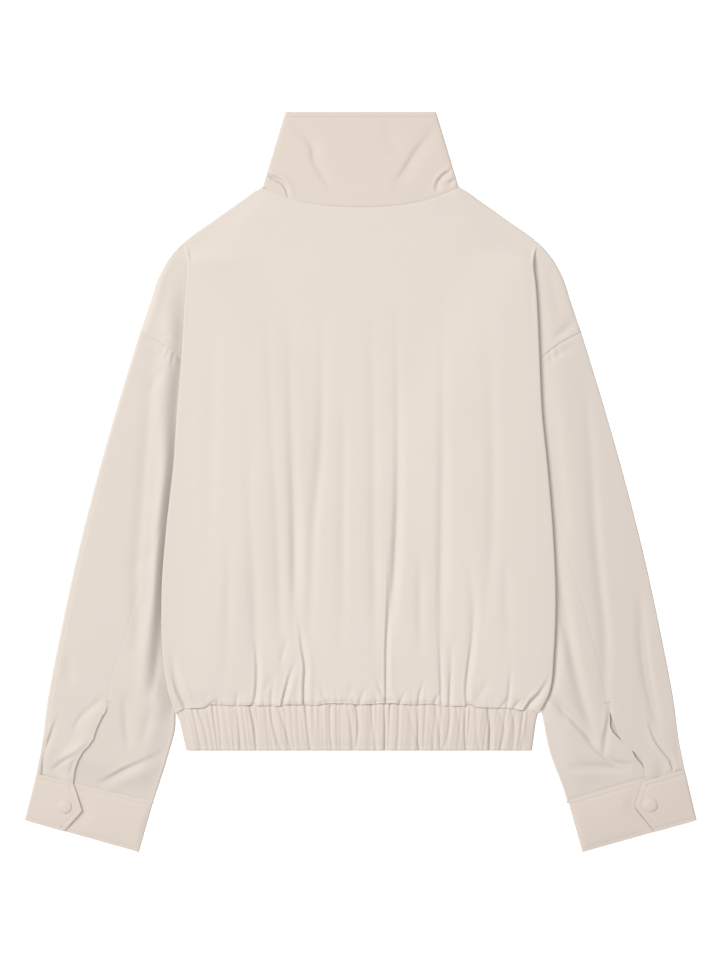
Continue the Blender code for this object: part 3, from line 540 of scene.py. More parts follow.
def foldSection(y, reach):
    # the Z-shaped side fold at a height: turn angle, start, straight length and top level
    angle = np.pi * ease((lines["shoulder"] - y) / (32 * mm))
    start = reach - rolls["side"] * np.sin(np.minimum(angle, np.pi / 2))
    length = np.maximum(np.where(angle > np.pi / 2, start - innerFold(y), 0), 1.5 * mm)
    drop = (rolls["side"] + rolls["inner"]) * (1 - np.cos(angle)) + length * np.sin(angle)
    top = np.where(y >= lines["underarm"], levels["second"] + drop, thirdLayer(y) + 2 * rolls["side"])
    return angle, start, length, top


def sideReach(y, side):
    # the middle of the cloth at the side fold's outermost
    return edgeAt("sideFold", y, side) - wall / 2


def wavering(y):
    # share of the hem seam's wavering that a row takes on
    return ease((-150 * mm - y) / (95 * mm))


def backHeight(x, y):
    # level over the middle, raised over the folded cloth, with flutes, gathers and creases
    seam = bySide(x, lambda side: edgeAt("sideSeam", y, side))
    reach = bySide(x, lambda side: sideReach(y, side))
    inner = np.where(y > lines["underarm"], innerFold(y), seam)
    top = foldSection(y, reach)[3]
    raised = ease((np.abs(x) - inner + back["slopeFrom"]) / back["slope"])
    height = levels["back"] + (top - levels["back"]) * raised
    height = height + 0.8 * mm * ease((lines["hemSeam"] + 100 * mm - y) / (60 * mm)) * (1 - raised)
    flutes = creases(x, y, back["flutes"]) * (1 + 0.9 * ease((y + 190 * mm) / (90 * mm)))
    height = height + flutes * (1 - 0.3 * raised)
    above = np.maximum(y - lines["hemSeam"] - seamShift(x), 0)
    near = np.exp(-above / (7 * mm))
    edge = ease((np.abs(x) - reach + 14 * mm) / (11 * mm))
    atSeam = (levels["band"] + back["edgeRise"] + gatherWave(x)) * (1 - edge) + top * edge
    height = height * (1 - near) + atSeam * near
    height = height + creases(x, y, back["creases"]) * (1 - 0.6 * edge)
    tucked = back["edgeDrop"] * (1 + back["more"] * ease((x - back["moreFrom"]) / (40 * mm)))
    return height - tucked * (1 - 0.55 * edge) * np.exp(-(above / (2.0 * mm)) ** 1.5)


def sideOfBack(side, stations):
    # columns beyond the side edge: first turn, cloth folded under, second turn, drop shoulder
    turn = np.linspace(0, 1, 9)[1:]
    count = back["dropColumns"]
    rows = []
    for y in stations:
        reach = float(sideReach(y, side))
        angle, start, length, top = (float(value) for value in foldSection(y, reach))
        if y < lines["underarm"]:
            length = max(start - float(edgeAt("sideSeam", y, side)) - seamGap, 2 * mm)
        x = start + rolls["side"] * np.sin(angle * turn)
        z = top - rolls["side"] * (1 - np.cos(angle * turn))
        straight = np.linspace(0, 1, 7)[1:] * length
        x = np.append(x, x[-1] + straight * np.cos(angle))
        z = np.append(z, z[-1] - straight * np.sin(angle))
        bend = angle * (1 - turn)
        x = np.append(x, x[-1] + rolls["inner"] * (np.sin(angle) - np.sin(bend)))
        z = np.append(z, z[-1] - rolls["inner"] * (np.cos(bend) - np.cos(angle)))
        level = z[-1]
        if y > lines["drop"] + mm:
            edge = float(edgeAt("shoulder", y)) - wall / 2
            bendOut, edgeZ = 1.15 * mm, levels["edge"]
        else:
            edge = float(edgeAt("armhole", y)) - seamGap
            bendOut, edgeZ = min(1.15 * mm, (edge - x[-1]) * 0.3), level - 0.65 * mm
        run = x[-1] + (edge - bendOut - x[-1]) * np.linspace(0, 1, count + 1)[1:]
        x = np.concatenate([x, run, [edge - bendOut * 0.3, edge]])
        z = np.concatenate([z, np.full(count, level), [level - min(0.4 * mm, level - edgeZ), edgeZ]])
        rows.append(np.stack([x, np.full(len(x), y), z], axis=-1))
    points = np.array(rows)
    # the visible drop shoulder goes on into the sleeve's crown
    sign = -1 if side == "left" else 1
    last = slice(-(count + 2), None)
    x, y = points[:, last, 0], points[:, last, 1]
    swell, away, _ = crownHeight(side, x, y)
    folds = creases(sign * x, y, dropCreases[side]) * ease((away - 1 * mm) / (6 * mm))
    outermost = np.arange(count + 2) == count + 1
    points[:, last, 2] += np.where((y > lines["drop"] + mm) & outermost, 0, swell + folds)
    return points


crown = {
    # height of the sleeves over their flat level, and the width of the valley beside the body
    "height": table("y left right", (
        (263, 0, 0), (236, 1.4, 0.7), (200, 3.6, 1.4), (165, 4.8, 1.9), (100, 6.2, 2.8), (0, 6.6, 3.4),
        (-165, 7.4, 3.6), (-351, 5.0, 3.2))),
    "valley": table("y left right", (
        (263, 12, 9), (220, 12, 10), (190, 9, 12), (160, 6, 13), (90, 7.2, 14), (24, 4.5, 15), (-42, 4, 16),
        (-108, 3.4, 14), (-174, 6.5, 8), (-218, 11, 6.5), (-260, 8, 8), (-351, 8, 8))),
    # how far it comes down to the outline, the ridge along the valley, and how sharply it bends up
    "fall": {"left": 0.12, "right": 1.0}, "ridge": {"left": 0.35, "right": 0.0},
    "bend": {"left": 1.5, "right": 1.9},
}


def crownHeight(side, x, y):
    # a valley beside the body's edge, then a crown that comes down to the outline
    fold, inner = edgeAt("sideFold", y, side), edgeAt("sleeveInner", y, side)
    beside = np.where(y < lines["hemSeam"] - 5 * mm, inner, np.maximum(fold, inner))
    beside = np.where(y > lines["underarm"], fold, beside)
    outer = np.where(y > lines["drop"], edgeAt("shoulder", y), edgeAt("sleeveOuter", y))
    away = x - beside
    valley = curve(y, crown["valley"]["y"], crown["valley"][side])
    rise = 1 - np.exp(-(np.maximum(away - 0.5 * mm, 0) / valley) ** crown["bend"][side])
    fall = 1 - crown["fall"][side] * np.clip(away / (outer - beside), 0, 1)
    ridge = crown["ridge"][side] * bell(away - 2.3 * valley, 1.4 * valley)
    low = ease((lines["hemSeam"] + 5 * mm - y) / (25 * mm))      # below the body there is no valley
    rise = rise * (1 - low) + (0.3 + 0.7 * ease(away / (28 * mm))) * low
    shape = rise * (fall + ridge * (1 - low)) * ease((outer - x + 2 * mm) / (9 * mm))
    return curve(y, crown["height"]["y"], crown["height"][side]) * shape, away, rise


dropCreases = {                    # on the back's drop shoulders
    "left": (soft(((172, 268), (164, 300), (158, 335)), 6, .7),
             soft(((176, 348), (168, 338), (160, 331)), 3, .7),
             soft(((168, 339), (172, 333), (175, 326)), 1.6, .7),
             soft(((174, 343), (178, 337), (180, 330)), 1.6, .8)),
    "right": (soft(((548, 270), (556, 300), (562, 325)), 6, .8),
              soft(((552, 339), (560, 334), (569, 327), (579, 319)), 4, 1.6, steep=3.5),
              soft(((549, 343), (546, 336), (544, 329)), 1.6, .7)),
}


def makeBack():
    # rows from the neck and shoulder line down to the hem seam, columns over the width between the folds
    stations = np.append(finer(back["rows"], 4), back["lastRows"]) * mm
    stations[-1] = lines["hemSeam"] + seamGap / 2
    across = np.linspace(-1, 1, back["columns"])
    lineX = np.abs(across) * outline["sideFold"]["left"][0]
    neckEnd = outline["neck"]["x"][-1]
    onShoulder = lineX > neckEnd + 2 * mm
    lineY = np.where(lineX < neckEnd, seamAt("neck", lineX), seamAt("shoulder", lineX))
    lineY = lineY - np.where(onShoulder, wall / 2, seamGap)
    rows = []
    for i in range(len(stations) + 2):
        ySide = stations[max(i - 2, 0)]
        part = (lines["shoulder"] - ySide) / (lines["shoulder"] - stations[-1])
        y = lineY - (0, 0.45 * mm, 1.2 * mm)[min(i, 2)]
        y = y + (stations[-1] - y) * part ** 1.25
        atSide = ease((np.abs(across) - 0.75) / 0.25) * (i > 1)
        y = y + atSide * (ySide + (lineY - lineY[0]) * (1 - part) - y)
        fold = foldSection(ySide, bySide(across, lambda side: sideReach(ySide, side)))
        x = across * fold[1]
        z = backHeight(x, y)
        sloped = ease((lineX - neckEnd + 6 * mm) / (45 * mm)) * (1 - ease((lineY - y) / (28 * mm)))
        z = z + (levels["second"] - z) * sloped
        z = z - 0.35 * mm * bell(lineY - y, 1.6 * mm)
        if i == 0:                   # the neck edge goes on under the collar
            under = ease((neckEnd - 3 * mm - lineX) / (9 * mm))
            y = y + 2.5 * mm * under
            z = z - 0.9 * mm * under
        if i < 2:
            z = np.where(onShoulder, (levels["edge"], levels["second"] - 0.35 * mm)[i], z)
        else:
            z = z + (fold[3] - z) * ease((np.abs(across) - 0.988) / 0.012)
        y = y + seamShift(x) * wavering(ySide)
        rows.append(np.stack([x, y, z], axis=-1))
    body = np.array(rows)
    beside = []
    for side, edgeX in (("left", body[-1, 0, 0]), ("right", body[-1, -1, 0])):
        columns = sideOfBack(side, stations)
        columns[..., 1] += (seamShift(edgeX) * wavering(stations))[:, None]
        blank = np.zeros((2, columns.shape[1], 3))
        beside.append(np.concatenate([blank, onSide(columns, side, side == "left")]))
    full = np.concatenate([beside[0], body, beside[1]], axis=1)
    beyond, last = blank.shape[1], full.shape[1] - 1
    for column in range(beyond):     # the first row gathers to the point where the fold starts
        full[2, column] = body[min(column, 2), 0]
        full[2, last - column] = body[min(column, 2), -1]
    present = np.ones((full.shape[0] - 1, last), dtype=bool)
    below = np.nonzero(stations < lines["underarm"] + mm)[0][0] + 2
    for part, width in ((slice(0, 2), beyond), (slice(below, None), back["dropColumns"] + 2)):
        present[part, :width] = False
        present[part, last - width:] = False
    return clothPiece("backShell", full, "back_panel", present)


backShell = makeBack()

front = {
    # heights of the rows; places where the upper front, over the other one, starts and ends its way down
    "rows": (316, 300, 284, 274, 266, 225, 165.1, 159, 149, 134, 95, 50, 32, 0, -70, -140, -200, -226, -237,
             -245),
    "comesDown": (18 * mm, 24 * mm),
    # the outer lip's width, and how it climbs over the sleeve
    "lip": 7 * mm, "lipPlaces": (.2, .4, .6, .8, 1), "lipClimb": (.04, .25, .6, .9, 1),
}


def frontEdge(y, side):
    # a front's outer edge: shoulder, armhole, then side seam
    if y > lines["drop"]:
        return float(edgeAt("shoulder", y)) - wall / 2
    if y >= lines["underarm"]:
        return float(edgeAt("armhole", y)) - seamGap
    return float(edgeAt("sideSeam", y, side)) - 2.2 * mm


def makeFront(side):
    # rows from the neck to the hem; the outer edge climbs over the sleeve to the side seam
    stations = finer(front["rows"], 3) * mm
    stations[-1] = lines["hemSeam"] + seamGap / 2
    floor, lap = levels["floor"], levels["overlap"]
    rows = []
    for y in stations:
        outer = frontEdge(y, side)
        slant = float(np.clip((y - 266 * mm) / (8 * mm), 0, 1))
        lift = float(ease((lines["underarm"] - y) / (30 * mm))) * (float(thirdLayer(y)) - floor)
        if side == "left":
            knots, heights = np.array([-overlap, *front["comesDown"]]), np.array([lap, lap, floor])
        else:
            knots, heights = np.array([-overlap, 0.0, overlap]), np.full(3, floor)
        if slant > 0:                # beside the neck it starts at the neck seam, on the floor
            neckX = float(curve(y, outline["frontNeck"]["y"], outline["frontNeck"]["x"])) + seamGap
            knots = knots + (neckX + np.array([0, 4, 8]) * mm - knots) * slant
            heights = heights + (floor - heights) * slant
        lip = min(front["lip"], 0.3 * (outer - knots[0]))
        flat = outer - lip
        x = np.concatenate([knots, knots[-1] + (flat - knots[-1]) * np.linspace(0, 1, 19)[1:],
                            flat + lip * np.array(front["lipPlaces"])])
        z = np.concatenate([heights, np.full(18, floor), floor + lift * np.array(front["lipClimb"])])
        rows.append(np.stack([x, np.full(len(x), y), z], axis=-1))
    points = onSide(np.array(rows), side, side == "right")
    return clothPiece("frontShell" + side.capitalize(), points, "front_" + side)


frontShells = {side: makeFront(side) for side in sides}

sleeve = {
    # back seam: along the sleeve (0 armhole, 1 cuff) against across it (0 outer edge, 1 inner edge)
    "left": np.array((
        (0, .53), (.305, .54), (.534, .505), (.633, .50), (.78, .462), (.80, .452), (.827, .410),
        (.859, .385), (.888, .373), (.908, .344), (.923, .312), (.946, .287), (.969, .278), (1, .286))),
    "right": np.array((
        (0, .53), (.305, .54), (.57, .51), (.79, .497), (.821, .487), (.845, .477), (.873, .462),
        (.892, .440), (.907, .414), (.919, .382), (.934, .352), (.948, .330), (.965, .324), (1, .343))),
    "slitTop": 0.79, "frontSeam": 0.45, "length": 480 * mm, "width": 125 * mm,
    # rows along the sleeve, points across the upper layer, and from where it follows the cuff's seam
    "rows": (0, .03, .09, .19, .32, .45, .58, .70, .79, .85, .90, .94, .97, 1),
    "columns": 66, "nearCuff": 0.86,
    # how far the slit opens on the left, and how high the outer halves rise over what is below them
    "opening": 0.03, "raised": {"left": 2.1 * mm, "right": 1.6 * mm},
    # an edge that goes on under the other half: how far and how deep; the presses along the seams
    "tuck": 2.2, "tuckDrop": 0.95 * mm, "press": {"seam": 0.15 * mm, "cuff": 0.25 * mm, "armhole": 0.4 * mm},
    "gaps": ((0.853, 0.028, 0.036), (0.946, 0.022, 0.038)),      # the right slit's: place, length, width
}
sleeveCreases = {
    # the valley beside the crown, fans at the armhole, pulls above the cuff
    "left": (
        soft(((154, 345), (151, 400), (146, 460), (142, 520), (137, 580), (140, 640), (136, 685),
             (130, 715)), 5, (1.5, 1.7, 1.8, 1.7, 1.7, 2.2, 2.4, 1), steep=8),
        soft(((178, 372), (170, 366), (158, 356), (148, 347)), 5, 1),
        soft(((165, 343), (163, 350), (160, 358)), 1.7, .7),
        soft(((170, 346), (168, 353), (166, 362)), 1.7, .9),
        soft(((175, 350), (173, 357), (172, 367)), 1.7, .9),
        soft(((166, 368), (156, 380), (150, 396)), 4, .9),
        soft(((158, 545), (140, 562), (118, 572)), 6, .7),
        soft(((164, 620), (159, 645), (154, 680), (147, 706)), 5, 2.1, steep=6),
        soft(((67, 655), (69, 668), (72, 684)), 6, 1.2),
        soft(((99, 701), (89, 709), (80, 718), (74, 728)), 4, (1.5, 1.2, 1, .5), steep=2.2, fade="none"),
        soft(((41.5, 776), (43, 757), (48, 741), (56, 719)), 1.2, (1.4, 1.8, 1.5, .3), steep=4,
             fade="none", over=.8),
        soft(((50, 768), (61, 759), (76, 750), (88, 740)), 4, -1.1, steep=2.4),
        soft(((52, 771), (63, 762), (78, 754)), 4, .9, steep=2),
        soft(((95, 783), (103, 781), (112, 776), (127, 768), (147, 759), (166, 750)), 1.8,
             (1.4, 1.9, 2, 1.5, 1.3, 1), steep=6, lip=.3),
        soft(((124, 694), (126, 722), (129, 750)), 6, 1.7, steep=4),
        soft(((154, 698), (148, 722), (143, 744)), 6, 1.2, steep=5),
        soft(((71, 775), (72, 767), (76, 758)), 2.2, .9),
    ),
    "right": (
        soft(((583, 372), (587, 400), (592, 460), (595, 520), (600, 580), (606, 640), (606, 685),
             (608, 720)), 5, (1.2, 1.3, 1.4, 1.6, 1.7, 1.9, 2.3, 2), steep=7),
        soft(((544, 362), (554, 357), (566, 350), (576, 346)), 4, .9),
        soft(((549, 349), (551, 356), (552, 364)), 1.7, .8),
        soft(((556, 345), (558, 352), (560, 359)), 1.7, .7),
        soft(((552, 395), (557, 440), (562, 500), (566, 540)), 6, .8),
        soft(((557, 582), (565, 618), (571, 648), (578, 682), (586, 712), (592, 738)), 6,
             (2.6, 3.6, 3.5, 2.6, 2, 1.2), steep=7, fade="none"),
        soft(((641, 590), (643, 640), (648, 680), (655, 712), (658, 738)), 5, 1.9, steep=6),
        soft(((550, 690), (561, 706), (568, 722)), 4, 1.4, steep=5),
        soft(((671, 769), (669.5, 763), (661, 751.5), (654.5, 741), (649, 726)), 1.2,
             (1.4, 1.8, 1.5, .8, .4), steep=4, fade="none", over=.8),
        soft(((544, 696), (560, 708), (577, 725), (591, 740), (602, 751)), 5, (1.4, 2.3, 2.3, 1.9, 1),
             steep=2.2, lip=.4),
        soft(((580, 733), (589, 743), (603, 757), (617, 766), (634, 769)), 3, (.8, 1.5, 1.7, 1.3, .8),
             steep=2, lip=.2),
        soft(((603, 752), (604, 741), (607, 725), (609, 707)), 1.6, (1.4, 2, 1.4, .5), steep=4,
             fade="none", over=.3),
        soft(((568, 768), (595, 769), (632, 773)), 6, 2, steep=6),
        soft(((684, 770), (680, 745), (672, 715)), 6, 1.2, fade="end"),
    ),
}


cuffShape = {
    "outerTop": (357, -320.4), "innerTop": (228, -351.2),        # its four corners
    "outerLow": (370, -372), "innerLow": (244, -407.3),
    # the tab's pointed end: down the cuff (0 seam, 1 edge) against across it
    "left": ((0, .315), (.49, .445), (.53, .445), (1, .345)),
    "right": ((0, .345), (.43, .467), (.47, .467), (1, .357)),
    "sewn": (0.09, 0.935), "inside": 0.040,      # sewn rows down the cuff, and inside the tab's end
    # how far the top seam climbs over its straight line: across the cuff, the tab's part, the part under it
    "rise": {"left": table("across top under", ((0, 0, 0), (1000, 0, 0))),
             "right": table("across top under", ((0, 4.8, 6), (345, 2.0, 5.8), (1000, 2.0, 1.6)))},
    "underEnd": 0.08, "width": 130 * mm, "depth": 49 * mm,
    # rows down the cuff, the swell of its two layers, and its sewn channels' width and depth
    "rows": (0, .03, .06, .09, .12, .2, .3, .43, .47, .49, .53, .7, .85, .905, .935, .965, 1),
    "lapColumns": 44, "pressed": 0.25 * mm, "lapSwell": 0.9 * mm, "underSwell": 1.1 * mm,
    "channel": 1.3 * mm, "channelDrop": 0.32 * mm,
}


def seamRise(side, part, across):
    # how far the cuff's top seam climbs over its straight line
    rise = cuffShape["rise"][side]
    return np.interp(across, rise["across"], rise[part])


def sleevePlan(side, along, across):
    # straight across between the sleeve's edges, bowed to the armhole seam at its top
    outerY = lines["drop"] + (outline["sleeveOuter"]["y"][-1] - lines["drop"]) * along
    innerY = lines["underarm"] + (outline["sleeveInner"]["y"][-1] - lines["underarm"]) * along
    outerX = edgeAt("sleeveOuter", outerY)
    innerX = edgeAt("sleeveInner", innerY, side)
    seamY = lines["drop"] + (lines["underarm"] - lines["drop"]) * across
    seamX = edgeAt("armhole", seamY)
    topX = outline["shoulder"]["x"][-1]
    lineX = topX + (outline["armhole"]["x"][-1] - topX) * across
    bow = np.clip(1 - along / 0.5, 0, 1) ** 2
    x = outerX + (innerX - outerX) * across + (seamX - lineX) * bow
    return x, outerY + (innerY - outerY) * across


def sleeveSurface(side, along, across, lift):
    # middle of the sleeve's back layer: flat under the body, a soft crown where it shows
    x, y = sleevePlan(side, along, across)
    swell, away, rise = crownHeight(side, x, y)
    atCuff = 0.12 + 0.88 * ease((1 - along) * sleeve["length"] / (34 * mm))
    z = levels["second"] + swell * atCuff + lift
    sign = -1 if side == "left" else 1
    folds = creases(sign * x, y, sleeveCreases[side])
    z = z + folds * ease((away - 1 * mm) / (8 * mm)) * ease((1.015 - along) / 0.025)
    return x, y, np.maximum(z, levels["second"] - 0.6 * mm)


def makeSleeve(side, kind):
    # rows across one half of a sleeve: back seam, edge of the sleeve, hidden front seam
    edgeShare, outward = (0.0, 1) if kind == "top" else (1.0, -1)
    gap = outward * seamGap / sleeve["width"] / 2
    rows = []
    for v in finer(sleeve["rows"], 8):
        seam = float(np.interp(v, *sleeve[side].T)) - gap
        opened = sum(float(bell(v - place, length)) * width for place, length, width in sleeve["gaps"])
        openSlit = float(ease((v - sleeve["slitTop"]) / 0.03))
        nearCuff = float(ease((v - sleeve["nearCuff"]) / 0.14))
        lift = 0.0
        if kind == "top" and side == "left":
            seam += sleeve["opening"] * openSlit
            lift = sleeve["raised"][side] * float(ease((v - sleeve["slitTop"] + 0.005) / 0.04))
        if kind == "top" and side == "right":
            lift = sleeve["raised"][side] * float(ease((v - 0.93) / 0.06))
        if kind == "under" and side == "right":
            seam += opened
        width = float(np.hypot(*np.subtract(sleevePlan(side, v, 1.0), sleevePlan(side, v, 0.0))))
        edgeX, edgeY = (float(value) for value in sleevePlan(side, v, edgeShare))
        edgeZ = float(sleeveSurface(side, v, abs(edgeShare - 4 * mm / width), 0.0)[2])
        radius = (edgeZ - levels["floor"]) / 2
        layer = np.linspace(seam, edgeShare + outward * (radius + 2 * mm) / width, sleeve["columns"])
        x, y, z = sleeveSurface(side, v, layer, lift * ease((layer - seam + 0.16) / 0.12))
        y = y + seamRise(side, kind, layer) * nearCuff
        z = z - sleeve["press"]["seam"] * bell((layer - layer[0]) * width, 1.6 * mm) * (1 - openSlit)
        z = z - sleeve["press"]["cuff"] * bell((1 - v) * sleeve["length"], 2.5 * mm)
        z = z - sleeve["press"]["armhole"] * bell(v * sleeve["length"], 2.0 * mm)
        if kind == "under":          # its edge goes on under the other half
            less = 1.9 * min(opened / 0.01, 1) if side == "right" else 0
            tuck = (sleeve["tuck"] - less) * mm / width
            x0, y0, z0 = sleeveSurface(side, v, layer[:1] - tuck, 0.0)
            y0 = y0 + seamRise(side, kind, layer[:1]) * nearCuff
            x, y, z = np.append(x0, x), np.append(y0, y), np.append(z0 - sleeve["tuckDrop"], z)
        turn = np.linspace(0, np.pi, 10)
        climb = float(seamRise(side, kind, edgeShare)) * nearCuff
        x = np.append(x, halfTurn(edgeX - outward * wall / 2, radius, turn, outward)[0])
        y = np.append(y, edgeY + climb * (1 + np.cos(turn)) / 2)
        z = np.append(z, halfTurn(0, (z[-1] - levels["floor"]) / 2, turn)[1])
        flatX, flatY = sleevePlan(side, v, np.linspace(edgeShare, sleeve["frontSeam"] - gap, 12)[1:])
        flatZ = np.full(11, levels["floor"])
        rows.append(np.stack([np.append(x, flatX), np.append(y, flatY), np.append(z, flatZ)], axis=-1))
    points = np.array(rows)
    top = slice(0, sleeve["columns"])            # the first row goes on under the drop shoulder
    points[0, top] += np.array([-1.6, 1.9, -0.9]) * mm
    points[1, top] += np.array([-0.4, 0.5, -0.15]) * mm
    points[-1, :, 1] -= 2.2 * mm                 # and the last under the cuff
    points[-1, top, 2] -= 0.8 * mm
    points = onSide(points, side, (side == "left") == (kind == "top"))
    return clothPiece(f"sleeve{kind.capitalize()}{side.capitalize()}", points, f"sleeve_{kind}_{side}")


sleeveShells = {(side, kind): makeSleeve(side, kind) for side in sides for kind in ("top", "under")}


def cuffPlan(down, across):
    # between the cuff's four corners; down and across may be arrays
    down, across = (np.asarray(value, dtype=float)[..., None] for value in (down, across))
    ends = []
    for name in ("outer", "inner"):
        top, low = np.array(cuffShape[name + "Top"]) * mm, np.array(cuffShape[name + "Low"]) * mm
        ends.append(top + (low - top) * down)
    return ends[0] + (ends[1] - ends[0]) * across


def sewnChannel(across, down, tip=None):
    # shallow channels along the sewn rows and inside the tab's end
    depth = sum(bell((down - row) * cuffShape["depth"], cuffShape["channel"]) for row in cuffShape["sewn"])
    if tip is not None:
        inTab = ease((down - 0.05) / 0.04) * ease((0.97 - down) / 0.04)
        away = (across - tip + cuffShape["inside"]) * cuffShape["width"]
        depth = depth + inTab * bell(away, cuffShape["channel"])
    return -cuffShape["channelDrop"] * depth


def lapLevel(across, down):
    # the tab's layer: a little swollen between its edges
    swell = np.sin(np.pi * np.clip(down, 0, 1)) * np.sin(np.pi * np.clip(across, 0, 1))
    return levels["lap"] + cuffShape["lapSwell"] * swell


def underLevel(across, down, tip, pressed=0.0):
    # the layer that comes out from under the tab
    swell = cuffShape["underSwell"] * np.sin(np.pi * down) + sewnChannel(across, down) - pressed
    return levels["second"] + swell * ease((across - tip - 0.03) / 0.12)


def tabEnd(side, down):
    # the tab's pointed end: its place across at a place down the cuff
    return np.interp(down, *np.array(cuffShape[side]).T)


def makeCuff(side):
    # one band: from the pointed tab outwards, round below, and back up under the tab
    outerRoll = (levels["lap"] - levels["floor"]) / 2
    innerRoll = (levels["second"] - levels["floor"]) / 2
    width, depth = cuffShape["width"], cuffShape["depth"]
    rows = []
    for down in finer(cuffShape["rows"], 2):
        tip = float(tabEnd(side, down))
        pressed = cuffShape["pressed"] * (bell(down * depth, 1.8 * mm) + bell((1 - down) * depth, 1.8 * mm))
        across = np.linspace(tip, outerRoll / width, cuffShape["lapColumns"])
        lapZ = lapLevel(across, down) - pressed - 0.2 * mm * bell((across - tip) * width, 1.6 * mm)
        lap = np.column_stack([cuffPlan(down, across), lapZ + sewnChannel(across, down, tip)])
        lap[:, 1] += seamRise(side, "top", across) * (1 - down)
        rolled = []
        for place, half, radius, turn, outward in ((0.0, "top", outerRoll, np.linspace(0, np.pi, 9)[1:], 1),
                                                   (1.0, "under", innerRoll, np.linspace(np.pi, 0, 9), -1)):
            edge = cuffPlan(down, place)
            climb = seamRise(side, half, place) * (1 - down) * (1 + np.cos(turn)) / 2
            x, z = halfTurn(edge[0] - outward * wall / 2, radius, turn, outward)
            rolled.append(np.column_stack([x, edge[1] + climb, z]))
        flat = np.column_stack([cuffPlan(down, np.linspace(0.06, 0.94, 12)), np.full(12, levels["floor"])])
        across = np.concatenate([np.linspace(0.96, tip + 0.05, 24), np.linspace(tip + 0.04, tip - 0.03, 20),
                                 np.linspace(tip - 0.06, cuffShape["underEnd"], 7)])
        top = np.column_stack([cuffPlan(down, across), underLevel(across, down, tip, pressed)])
        if side == "right":          # pressed down along the tab's lower edge
            groove = 0.3 + 0.85 * float(ease((down - cuffShape[side][2][0]) / 0.03))
            top[:, 2] -= groove * mm * bell((across - tip - 0.006) * width, 1.2 * mm)
        top[:, 1] += seamRise(side, "under", across) * (1 - down)
        points = np.concatenate([lap, rolled[0], flat, rolled[1], top])
        points[:, 1] += wall / 2 * (down == 1) - seamGap * (down == 0)
        rows.append(points)
    points = onSide(np.array(rows), side, side == "right")
    return clothPiece("cuffShell" + side.capitalize(), points, "cuff_" + side, material=trimCloth)


cuffShells = {side: makeCuff(side) for side in sides}

buttonShape = {
    "radius": 7.4, "height": 1.8, "left": (-325, -356.7), "right": (319, -355), "columns": 64,
    # flat base, rounded rim with a shallow groove, and a low dome, as shares of radius and height
    "profile": table("out up", (
        (0, 0), (.5, 0), (.9, 0), (.98, .08), (1, .25), (.99, .45), (.95, .62), (.90, .70), (.86, .705),
        (.82, .73), (.74, .83), (.6, .92), (.4, .975), (.2, .995), (0, 1.0))),
}


def makeButton(side):
    # a turned profile that stands on the tab
    name, count = "cuffButton" + side.capitalize(), buttonShape["columns"]
    radius = buttonShape["profile"]["out"][:, None] * buttonShape["radius"]
    height = buttonShape["profile"]["up"][:, None] * buttonShape["height"]
    base = levels["lap"] + wall / 2 + 0.45 * mm
    around = np.linspace(0, 2 * np.pi, count, endpoint=False)
    x, y = (value * mm for value in buttonShape[side])
    points = np.stack([x + radius * np.cos(around), y + radius * np.sin(around),
                       base + height * np.ones(count)], axis=-1)
    index = np.arange(points[..., 0].size).reshape(-1, count)
    ahead = np.roll(index, -1, axis=1)
    cells = np.stack([index[:-1], ahead[:-1], ahead[1:], index[1:]], axis=-1).reshape(-1, 4)
    mesh = finished(newMesh(name, points, cells.tolist()), 0.005 * mm)
    return newPiece(name, mesh, buttonCloth, ["cuff_button_" + side])


buttons = {side: makeButton(side) for side in sides}
print("cuffs and buttons ready")

collarShape = {
    "halfLow": 108.3, "halfTop": 83.2, "frontDip": 22, "sewn": 6 * mm,
    # rows up the collar, and points along its inner end
    "rows": (0, .015, .05, .1, .15, .2, .25, .3, .35, .4, .45, .5, .6, .7, .85, .92, .935, .95, .965,
             .985, 1),
    "innerEnd": (14, 9, 4, -1, -6, -11, -15, -18, -21, -24, -27), "columns": (14, 24, 180),
    "creases": (
        soft(((288, 124), (303, 136), (312, 146), (314, 160), (323, 177), (334, 195)), 8,
             (.5, 1.2, 1.6, 1.1, 1.2, .7), steep=3.4),
        soft(((440, 120), (426, 138), (415, 153), (402, 174), (390, 190)), 9, (.6, 1.1, 1.5, 1.6, .6),
             steep=2.8),
        soft(((360, 135), (362, 160), (358, 190)), 26, .7),
        soft(((258, 177), (268, 177.5), (276, 180), (284, 186), (289, 199)), 3, (3.2, 3.2, 2.2, 1.6, .4),
             steep=1.1, fade="none", lip=.4),
        soft(((436, 192), (438, 182), (446, 173.5), (457, 170)), 1.8, 1.7, steep=4, lip=.4),
        soft(((441, 181), (448, 183), (459, 177)), 1.8, 1.4, steep=3.5, lip=.3),
        soft(((385, 122), (392, 140), (398, 158)), 8, .6),
    ),
}


def collarBackHeight(x, y, half):
    # swollen towards the middle, with creases, pressed edges and a sewn channel
    fromTop = lines["collarTop"] - y
    z = levels["collar"] + 0.9 * mm * (1 - (x / (108 * mm)) ** 2)
    z = z + creases(x, y, collarShape["creases"])
    for away, wide, deep in ((y - seamAt("neck", x), 1.6, 0.3), (fromTop, 1.6, 0.3),
                             (fromTop - collarShape["sewn"], 1.1, 0.6)):
        z = z - deep * mm * bell(away, wide * mm)
    rim = ease((half - np.abs(x)) / (5 * mm))
    return levels["collar"] + (z - levels["collar"]) * rim


